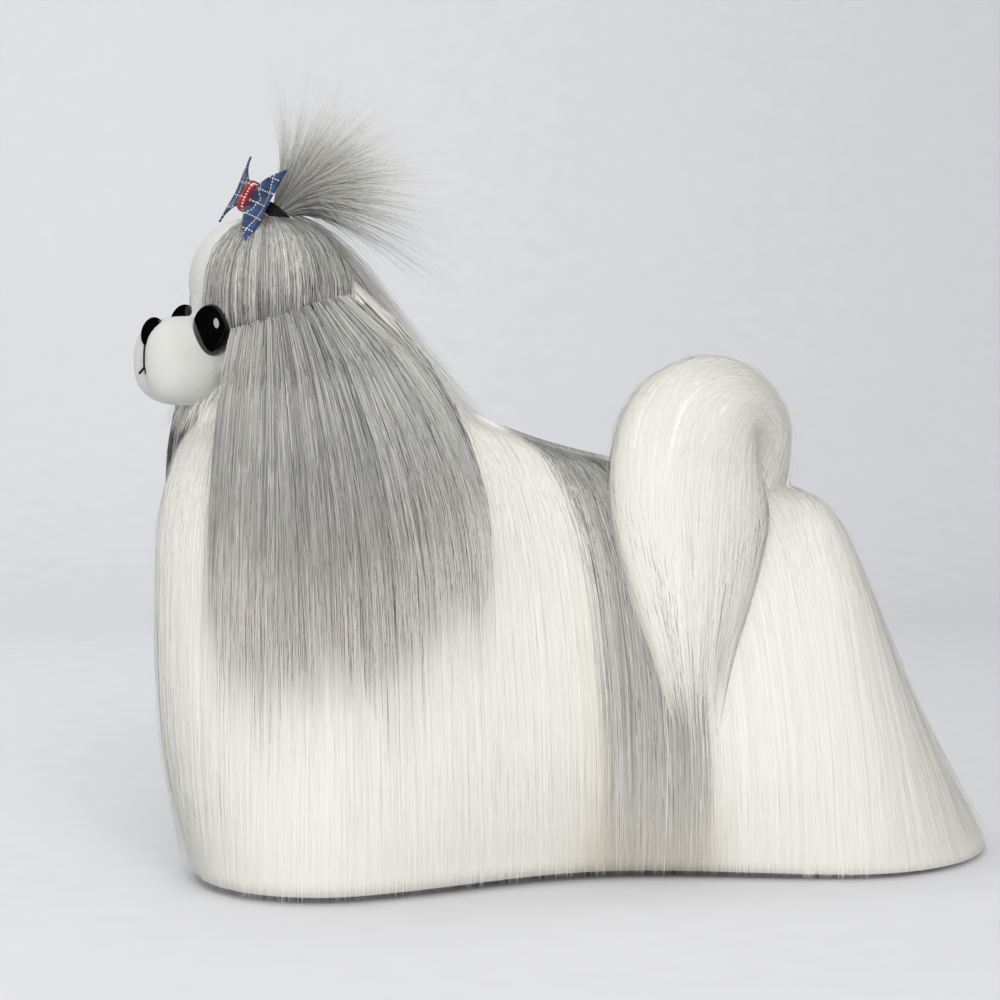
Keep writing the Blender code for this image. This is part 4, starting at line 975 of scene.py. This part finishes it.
def body_cloth(shields, finish):
    """The body, neck and legs under the coat. Below the belly the cloth hangs as a skirt, close behind the
    coat's hair and open round the legs."""
    stations = np.linspace(-4, 4, 241)[:-1] + 0.0167
    outside, inside = np.linspace(0.0, 0.99, 40), np.linspace(0.98, 0.66, 7)
    down = np.concatenate([outside, inside])
    depth = np.where(np.arange(len(down)) < len(outside), CLOTH_DEPTH, CURTAIN_DEPTH)
    # Both sides meet at the parting.
    depth[0] = 0
    body = skin_of(body_lie, stations, down, depth, body_marks)
    nape = np.linspace(0.04, 1.0, 16)
    neck_depth = 1.6 + 2.5 * smooth(nape, 0.45, 0.25) + 9 * smooth(nape, 0.5, 1.0)
    neck = skin_of(neck_lie, RING, nape, neck_depth, plain_marks)
    pieces = [(under_ears(piece[0], shields, 6.5), *piece[1:]) for piece in (body, neck)]
    leg_size = np.array((LEG_RADIUS * 1.1, LEG_RADIUS * 1.1, LEG_TOP / 2 - 2))
    for x, y in LEG_PLACES:
        for side in (-1, 1):
            pieces.append(plain_piece(*ball((x, side * y, LEG_TOP / 2), leg_size, power=6.0)))
            paw, triangles = ball((x - 5, side * y, PAW_SIZE[2] * 0.62), PAW_SIZE)
            paw[:, 2] = np.maximum(paw[:, 2], 0.2)
            pieces.append(plain_piece(paw, triangles))
    points, triangles, marks, lie_map = joined(pieces)
    return add_mesh("body_cloth", points, triangles, finish, marks, {"lie": lie_map})


def ear_flap(name, side, finish):
    """The soft flap that an ear's hair is rooted in, with the long pile that lies flat on it."""
    rows, columns = 26, 30
    s, t = np.tile(np.linspace(0.0, 1.0, columns), rows), np.repeat(np.linspace(0, 0.8, rows), columns)
    middle, out = ear_lie(side)(s * (0.99 - 0.1 * t), t)
    edge = np.clip(np.minimum(s, 1 - s) / 0.06, 0.12, 1) ** 0.5 * (1 - 0.85 * smooth(t, 0.6, 0.8))
    half = 0.9 * edge[:, None]
    points = np.concatenate([middle - out * (2.4 - half), middle - out * (2.4 + half)])
    triangles = sheet_faces(rows, columns, True)
    if side > 0:
        triangles = triangles[:, ::-1]
    marks = np.tile(marks_of(*ear_marks(s, t), 0.42), (2, 1))
    return add_mesh(name, points, triangles, finish, marks, {"lie": np.tile(stacked(s * 0.2, t), (2, 1))})


def muzzle_dent(y, front):
    return SEAM_DEPTH * np.exp(-(y / SEAM_WIDTH) ** 2) * np.maximum(0, front) ** 2


def eye_dents(points):
    """The head's points, pressed in a little round each eye."""
    for side in (-1, 1):
        axes, middle = eye_axes(side), with_face(EYE_AT * (1, side, 1))
        axes = swung(axes.T, FACE_TURN, 0).T
        _, across, high = ((points - middle) @ axes / (EYE_SIZE + 0.8)).T
        near = smooth(np.linalg.norm(points - middle, axis=-1), 20, 11)
        points = points + axes[:, 0] * (EYE_DENT * near * smooth(np.hypot(across, high), 2.0, 0.8))[:, None]
    return points


def face_form():
    """The skull, forehead, cheeks and muzzle melted into one smooth head, in the head's own frame."""
    skull = ball(SKULL_AT, SKULL_SIZE - 0.6, columns=48, rows=28)
    forehead = ball(FOREHEAD_AT, FOREHEAD_SIZE, columns=48, rows=28)
    cheeks = ball(CHEEK_AT, CHEEK_SIZE - 0.3, columns=40, rows=24)
    tip_up = np.array(((1, 0, 0), (0, 0, -1), (0, 1, 0)))
    muzzle, triangles = ball((0, 0, 0), (1, 1, 1), tip_up, 64, 40, MUZZLE_ROUND)
    front = -muzzle[:, 0]
    muzzle = muzzle * (MUZZLE_SIZE - 0.1) + MUZZLE_AT
    muzzle[:, 0] += muzzle_dent(muzzle[:, 1], front)
    muzzle = with_face(muzzle)
    bm = bmesh.new()
    for points, faces in (skull, forehead, cheeks, (muzzle, triangles)):
        verts = [bm.verts.new(p) for p in points]
        for face in faces:
            bm.faces.new([verts[i] for i in face])
    mesh = bpy.data.meshes.new("face_form")
    bm.to_mesh(mesh)
    bm.free()
    obj = new_object("face_form", mesh)
    step = obj.modifiers.new("melt", "REMESH")
    step.mode = "VOXEL"
    step.voxel_size = FACE_VOXEL
    soften = obj.modifiers.new("soften", "SMOOTH")
    soften.factor = 0.5
    soften.iterations = 7
    split = obj.modifiers.new("split", "TRIANGULATE")
    split.quad_method = "SHORTEST_DIAGONAL"
    graph = bpy.context.evaluated_depsgraph_get()
    made = bpy.data.meshes.new_from_object(obj.evaluated_get(graph))
    bpy.data.objects.remove(obj)

    def rows(items, name, kind):
        values = np.empty(len(items) * 3, kind)
        items.foreach_get(name, values)
        return values.reshape(-1, 3)

    return (eye_dents(rows(made.vertices, "co", float)), rows(made.polygons, "vertices", np.int32),
            rows(made.vertices, "normal", float))


def face_grey(points):
    """The temples and the places beside the eyes are grey, the rest of the face white."""
    around = np.arctan2(points[:, 1], -(points[:, 0] - SKULL_AT[0]))
    side = np.abs(around - BLAZE_MIDDLE)
    temple = smooth(side, BLAZE_HALF, BLAZE_HALF + 0.05) * smooth(points[:, 2], 236, 239)
    x, y, z = with_face(points, -1).T
    behind = smooth(x, -122, -118) * smooth(np.abs(y), 12, 17) * smooth(z, 207, 213)
    return np.maximum(temple, behind)


def inside_ball(points, centre, size, turn=np.eye(3)):
    return (((points - centre) @ turn / size) ** 2).sum(-1) < 1


def face_plush(form, finish):
    points, faces, _ = form
    return add_mesh("face_plush", turned(points), faces, finish, marks_of(face_grey(points), 0, 0.3))


def face_pile(form, finish, rng):
    """The tiny tufts of the clipped pile, lying back from the nose."""
    points, faces, normals = form
    corners = points[faces]
    area = np.linalg.norm(np.cross(corners[:, 1] - corners[:, 0], corners[:, 2] - corners[:, 0]), axis=1)
    shown = corners.mean(1)
    back = smooth(shown[:, 0], -100, -106) * smooth(shown[:, 2], 275, 272) + 1e-9
    chance = area * back
    picked = rng.choice(len(faces), 10000, p=chance / chance.sum())
    shares = rng.dirichlet((1, 1, 1), len(picked))
    place = (corners[picked] * shares[..., None]).sum(1)
    out = unit((normals[faces][picked] * shares[..., None]).sum(1))
    face = with_face(place, -1)
    # None grows on the eyes, the nose or the stitches.
    clear = np.ones(len(place), bool)
    for side in (-1, 1):
        clear &= ~inside_ball(face, EYE_AT * (1, side, 1), EYE_SIZE + 0.5, eye_axes(side))
    clear &= ~inside_ball(face, NOSE_AT, NOSE_SIZE + 0.7)
    clear &= ~((np.abs(face[:, 1]) < 0.9) & (face[:, 0] < -130) & (face[:, 2] < 224) & (face[:, 2] > 209))
    place, out = place[clear][:FACE_TUFTS], out[clear][:FACE_TUFTS]
    draw = Draws(rng, len(place))
    away = place - with_face(NOSE_AT) + np.array((0, 0, -6))
    away = unit(away - out * (away * out).sum(-1, keepdims=True))
    away = unit(away + rng.normal(0, 0.2, away.shape))
    grey = face_grey(place)[:, None]
    length = draw.even(0.8, 1.4)[:, None] * (1 + 0.5 * grey)
    path = np.stack([place - out * 0.2, place + away * length * 0.5 + out * (0.1 + 0.1 * grey),
                     place + away * length + out * (0.16 + 0.3 * grey)], 1)
    outs = np.repeat(out[:, None], 3, 1)
    widths = draw.even(0.14, 0.24)[:, None] * np.array((1.0, 0.85, 0))
    tone = (0.6 + draw.each(0.08)) * (1 - grey) + (0.3 + draw.each(0.22)) * grey
    around = np.arctan2(place[:, 1], -(place[:, 0] - SKULL_AT[0])) / 2 / math.pi + 0.5
    root_map = stacked(around, np.clip((place[:, 2] - 190) / 85, 0, 1))
    return add_hairs("face_pile", turned(path), turned(outs, 0), widths, marks_of(grey, 0, tone), root_map,
                     finish, 0.9, False)


def eye_axes(side):
    return np.array(Matrix.Rotation(-side * EYE_TURN, 3, "Z"))


def eye_button(name, side, finish):
    points, triangles = ball(EYE_AT * (1, side, 1), EYE_SIZE, eye_axes(side), 48, 32)
    return add_mesh(name, turned(with_face(points)), triangles, finish)


def nose_button(finish):
    """The moulded nose, broad above and drawn to a point below."""
    points, triangles = ball((0, 0, 0), (1, 1, 1), np.eye(3), 48, 32, 2.2)
    points[:, 1] *= 1 - 0.6 * np.maximum(0, -points[:, 2]) ** 1.2
    tilt = np.array(Matrix.Rotation(NOSE_TILT, 3, "Y"))
    placed = with_face(points * NOSE_SIZE @ tilt.T + NOSE_AT)
    return add_mesh("nose_button", turned(placed), triangles, finish)


def tube(points, radius, sides=8):
    """A round thread through points, closed at its ends or, where its ends meet, a ring."""
    points = np.asarray(points, float)
    ahead = unit(np.gradient(points, axis=0))
    across = unit(np.cross(ahead, (0.1, 0.97, 0.2)))
    up = np.cross(ahead, across)
    angle = np.arange(sides) / sides * 2 * math.pi
    rim = (points[:, None] + across[:, None] * np.cos(angle)[:, None] * radius
           + up[:, None] * np.sin(angle)[:, None] * radius).reshape(-1, 3)
    triangles = triangles_of(grid_faces(len(points), sides))
    last = (len(points) - 1) * sides
    for i in range(1, sides - 1):
        triangles += [(0, i + 1, i), (last, last + i, last + i + 1)]
    return rim, np.array(triangles)


def threads(name, lines, radius, sides, finish):
    """Round threads along several lines, as one piece of the head."""
    points, triangles = joined([tube(line, radius, sides) for line in lines])
    return add_mesh(name, turned(points), triangles, finish)


def mouth_stitch(form, finish):
    """The stitched mouth, laid on the plush: two twisted plies down from under the nose, then out to each
    side."""
    tree = BVHTree.FromPolygons(form[0].tolist(), form[1].tolist())
    way = swung(np.array((1.0, 0, 0)), FACE_TURN, 0)

    def laid(y, z):
        start = with_face(np.array((-200.0, y, z)))
        found = tree.ray_cast(Vector(start), Vector(way))[0]
        return np.array(found) - way * 0.3

    lines = []
    for side in (-1, 1):
        line = [laid(0, z) for z in np.linspace(221, 211.6, 8)]
        line += [laid(side * 1.0 * i, 211.6 - 0.62 * i) for i in range(1, 5)]
        line = through(np.array(line), np.linspace(0, 1, 80))
        for ply in (0, math.pi):
            twist = np.linspace(0, 44, 80) + ply
            lines.append(line + stacked(0, np.cos(twist), np.sin(twist)) * 0.22)
    return threads("stitched_mouth", lines, 0.34, 6, finish)


def ring_points(radius, lift):
    """A ring about the band's axis."""
    angle = np.linspace(0, 2 * math.pi, 49)[:, None]
    side = np.array((0.0, 1, 0))
    ring = (np.cross(side, BAND_AXIS) * np.cos(angle) + side * np.sin(angle)) * radius
    return BAND_AT + ring + BAND_AXIS * lift


def band(finish):
    """The elastic round the gathered hair, wound several times."""
    turns = enumerate((-2.1, -0.8, 0.5, 1.8))
    rings = [ring_points(BAND_RADIUS - 1.2 + 0.3 * (i % 2), lift) for i, lift in turns]
    return threads("elastic_band", rings, 0.8, 10, finish)


def amber_band(finish):
    """A thin amber elastic under the black one."""
    return threads("amber_elastic", [ring_points(BAND_RADIUS - 0.6, -3.4)], 0.6, 8, finish)


def stem_cloth(finish):
    """The tight core of hair through the band."""
    turn = Vector((0, 0, 1)).rotation_difference(Vector(BAND_AXIS)).to_matrix()
    points, triangles = ball(BAND_AT + BAND_AXIS, (STEM_RADIUS, STEM_RADIUS, 11), np.array(turn))
    marks, lie_map = np.tile((1.0, 0.0, 0.3), (len(points), 1)), np.zeros((len(points), 2))
    return add_mesh("topknot_stem", turned(points), triangles, finish, marks, {"lie": lie_map})


def tail_core(angle, t):
    """The tail's lie, drawn in to a point where its hair runs on alone."""
    point, out = tail_lie(angle, t)
    middle = through(TAIL_LINE, t)
    return middle + (point - middle) * (1 - 0.95 * smooth(t, 0.56, 0.92))[:, None], out


def tail_cloth(finish):
    """The tail's core under its hair."""
    down = np.linspace(0.0, 0.92, 46)
    points, triangles, marks, lie_map = skin_of(tail_core, RING, down, CLOTH_DEPTH, plain_marks)
    return add_mesh("tail_cloth", points, triangles, finish, marks, {"lie": lie_map})


def on_bow(points):
    """Points of the bow, given across it, out from it and up it, at their places."""
    across = BOW_ACROSS.normalized()
    out = BOW_UP.cross(across).normalized()
    axes = np.array(Matrix((across, out, across.cross(out))).transposed())
    return turned(points @ axes.T + np.array(BOW_AT))


def bow_wing(name, side, finish):
    """One wing of the bow: a closed sheet of ribbon, creased along its middle, its end cut to two points."""
    rows, columns, thickness = 25, 33, 0.9
    u, w = np.meshgrid(np.linspace(0, 1, rows), np.linspace(-1, 1, columns), indexing="ij")
    end = 15.5 + 2.5 * np.abs(w) ** 1.2
    x = 2.0 + (end - 2.0) * u
    half = np.interp(x, (2, 6, 10, 18), (4.8, 6.6, 9.8, 16.2))
    crease = 1.7 * np.cos(math.pi * w) * np.sin(math.pi * np.clip(u, 0, 1))
    pinch = 0.9 * np.sin(3 * math.pi * w) * (1 - u) ** 2
    y = 0.09 * np.maximum(0, x - 4) + crease + pinch
    # The wing on the left hangs a little at its lower end.
    hang = np.where(w < 0, 1.22 if side > 0 else 0.9, 1.0)
    bent = np.maximum(0, -w) ** 2 * u * (side > 0)
    sheet = stacked(side * (x + 6.4 * bent), y - 4.8 * bent, w * half * 0.97 * hang)
    out = unit(np.cross(np.gradient(sheet, axis=0), np.gradient(sheet, axis=1))) * thickness / 2
    points = np.concatenate([(sheet + out).reshape(-1, 3), (sheet - out).reshape(-1, 3)])
    weave = np.tile(stacked(x * 0.9, w * half * hang).reshape(-1, 2), (2, 1))
    return add_mesh(name, on_bow(points), sheet_faces(rows, columns)[:, ::-1], finish, None, {"weave": weave})


def bow_knot(finish):
    """The red wrap round the middle of the bow, with its folds."""
    points, triangles = ball((0, 0, 0), (1, 1, 1), np.eye(3), 40, 28, 3.5)
    folds = 1 + 0.05 * np.sin(points[:, 0] * 7)
    points = points * (KNOT_SIZE[0], KNOT_SIZE[2], KNOT_SIZE[1])
    points[:, 1] *= folds
    weave = points[:, (0, 2)] + (10, 0)
    return add_mesh("bow_wrap", on_bow(points), triangles, finish, None, {"weave": weave})


def studio():
    """The pale paper sweep, the soft lights and the camera."""
    depth, width, height, curve = 1.6, 3.2, 2.6, 0.7
    turn = Matrix.Rotation(CAMERA_AZIMUTH, 3, "Z")
    profile = [(-2.0, 0.0)]
    for angle in np.linspace(0, math.pi / 2, 17):
        profile.append((depth - curve + curve * math.sin(angle), curve - curve * math.cos(angle)))
    profile.append((depth, height))
    points = [turn @ Vector((x, y, z)) for y, z in profile for x in (-width, width)]
    mesh = bpy.data.meshes.new("studio_sweep")
    quads = [(i, i + 1, i + 3, i + 2) for i in range(0, 2 * len(profile) - 2, 2)]
    mesh.from_pydata(points, [], quads)
    mesh.shade_smooth()
    mesh.materials.append(studio_paper())
    sweep = new_object("studio_sweep", mesh)
    sweep.visible_glossy = False
    middle = Vector((SHIFT[0] * MM, 0, CAMERA_AIM_Z))
    warm, cool = (1.0, 0.995, 0.985), (0.99, 0.995, 1.0)
    soft_light("key_light", (-0.16, -1.16, 0.72), middle, 0.75, 8, warm)
    soft_light("low_light", (0.1, -1.7, 0.35), middle, 2.4, 9, warm)
    soft_light("front_light", (-1.6, -0.6, 0.5), middle, 1.2, 7, cool)
    soft_light("top_light", (0.1, 0.1, 1.7), middle, 1.6, 3, cool)
    soft_light("backdrop_light", (-0.4, 0.35, 1.3), (-0.6, 1.6, 0.25), 1.0, 8.5, (0.985, 0.99, 1.0))
    world = bpy.data.worlds.new("studio_air")
    world.use_nodes = True
    background = world.node_tree.nodes["Background"]
    background.inputs[0].default_value = (0.97, 0.98, 1.0, 1)
    background.inputs[1].default_value = 0.52
    world.cycles_visibility.glossy = False
    bpy.context.scene.world = world
    bpy.context.scene.view_settings.view_transform = "Standard"
    camera(middle)


def soft_light(name, place, target, size, power, colour):
    lamp = bpy.data.lights.new(name, "AREA")
    lamp.shape = "DISK"
    lamp.size = size
    lamp.energy = power
    lamp.color = colour
    obj = new_object(name, lamp)
    obj.location = place
    aim = Vector(target) - Vector(place)
    obj.rotation_euler = aim.to_track_quat("-Z", "Y").to_euler()
    obj.visible_glossy = name == "key_light"


def camera(target):
    lens = bpy.data.cameras.new("camera")
    lens.lens = CAMERA_LENS
    lens.sensor_width = 36
    lens.clip_start = 0.01
    obj = new_object("camera", lens)
    a, e = CAMERA_AZIMUTH, CAMERA_HEIGHT_ANGLE
    back = Vector((math.sin(a) * math.cos(e), -math.cos(a) * math.cos(e), math.sin(e)))
    obj.location = target + back * CAMERA_DISTANCE
    obj.rotation_euler = back.to_track_quat("Z", "Y").to_euler()
    bpy.context.scene.camera = obj


def build():
    rng = np.random.default_rng(SEED)
    hair, ground, plush, tufts = long_hair(), hair_ground(), short_plush(), plush_tufts()
    black, thread = glossy_black(), black_thread()
    shields = ear_shields()
    body = body_cloth(shields, ground)
    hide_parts("neck", "chest", "torso", "foreleg_left", "foreleg_right",
                "hindleg_left", "hindleg_right")
    for name, first, last, count in COAT_FALLS:
        body_coat(name, first, last, count, shields, hair, rng)
    mane(shields, hair, rng)
    for side, word in ((-1, "left"), (1, "right")):
        flap = ear_flap(f"ear_flap_{word}", side, ground)
        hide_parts(f"ear_{word}")
        ear_hair(f"ear_hair_{word}", side, hair, rng)
        eye = eye_button(f"eye_button_{word}", side, black)
        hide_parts(f"eye_{word}")
    form = face_form()
    face = face_plush(form, plush)
    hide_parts("head", "muzzle")
    face_pile(form, tufts, rng)
    dome_hair(hair, rng)
    nose = nose_button(black)
    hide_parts("nose")
    mouth = mouth_stitch(form, thread)
    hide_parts("mouth_stitch")
    stem = stem_cloth(ground)
    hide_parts("topknot")
    plume_hair(hair, rng)
    tail = tail_cloth(ground)
    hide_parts("tail")
    tail_hair(hair, rng)
    black_band = band(elastic("black_elastic", linear(8, 8, 9), linear(34, 34, 38), 0.6))
    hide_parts("topknot_band")
    amber_band(elastic("amber_elastic", linear(150, 104, 42), linear(206, 160, 86), 0.35))
    blue = plaid("blue_plaid", linear(22, 44, 78), linear(40, 74, 128), linear(222, 228, 232))
    red = plaid("red_plaid", linear(165, 14, 24), linear(120, 10, 20), linear(236, 222, 220))
    for side, word in ((1, "left"), (-1, "right")):
        wing = bow_wing(f"bow_ribbon_{word}", side, blue)
        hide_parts(f"bow_wing_{word}")
    knot = bow_knot(red)
    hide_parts("bow_knot")


build()
studio()
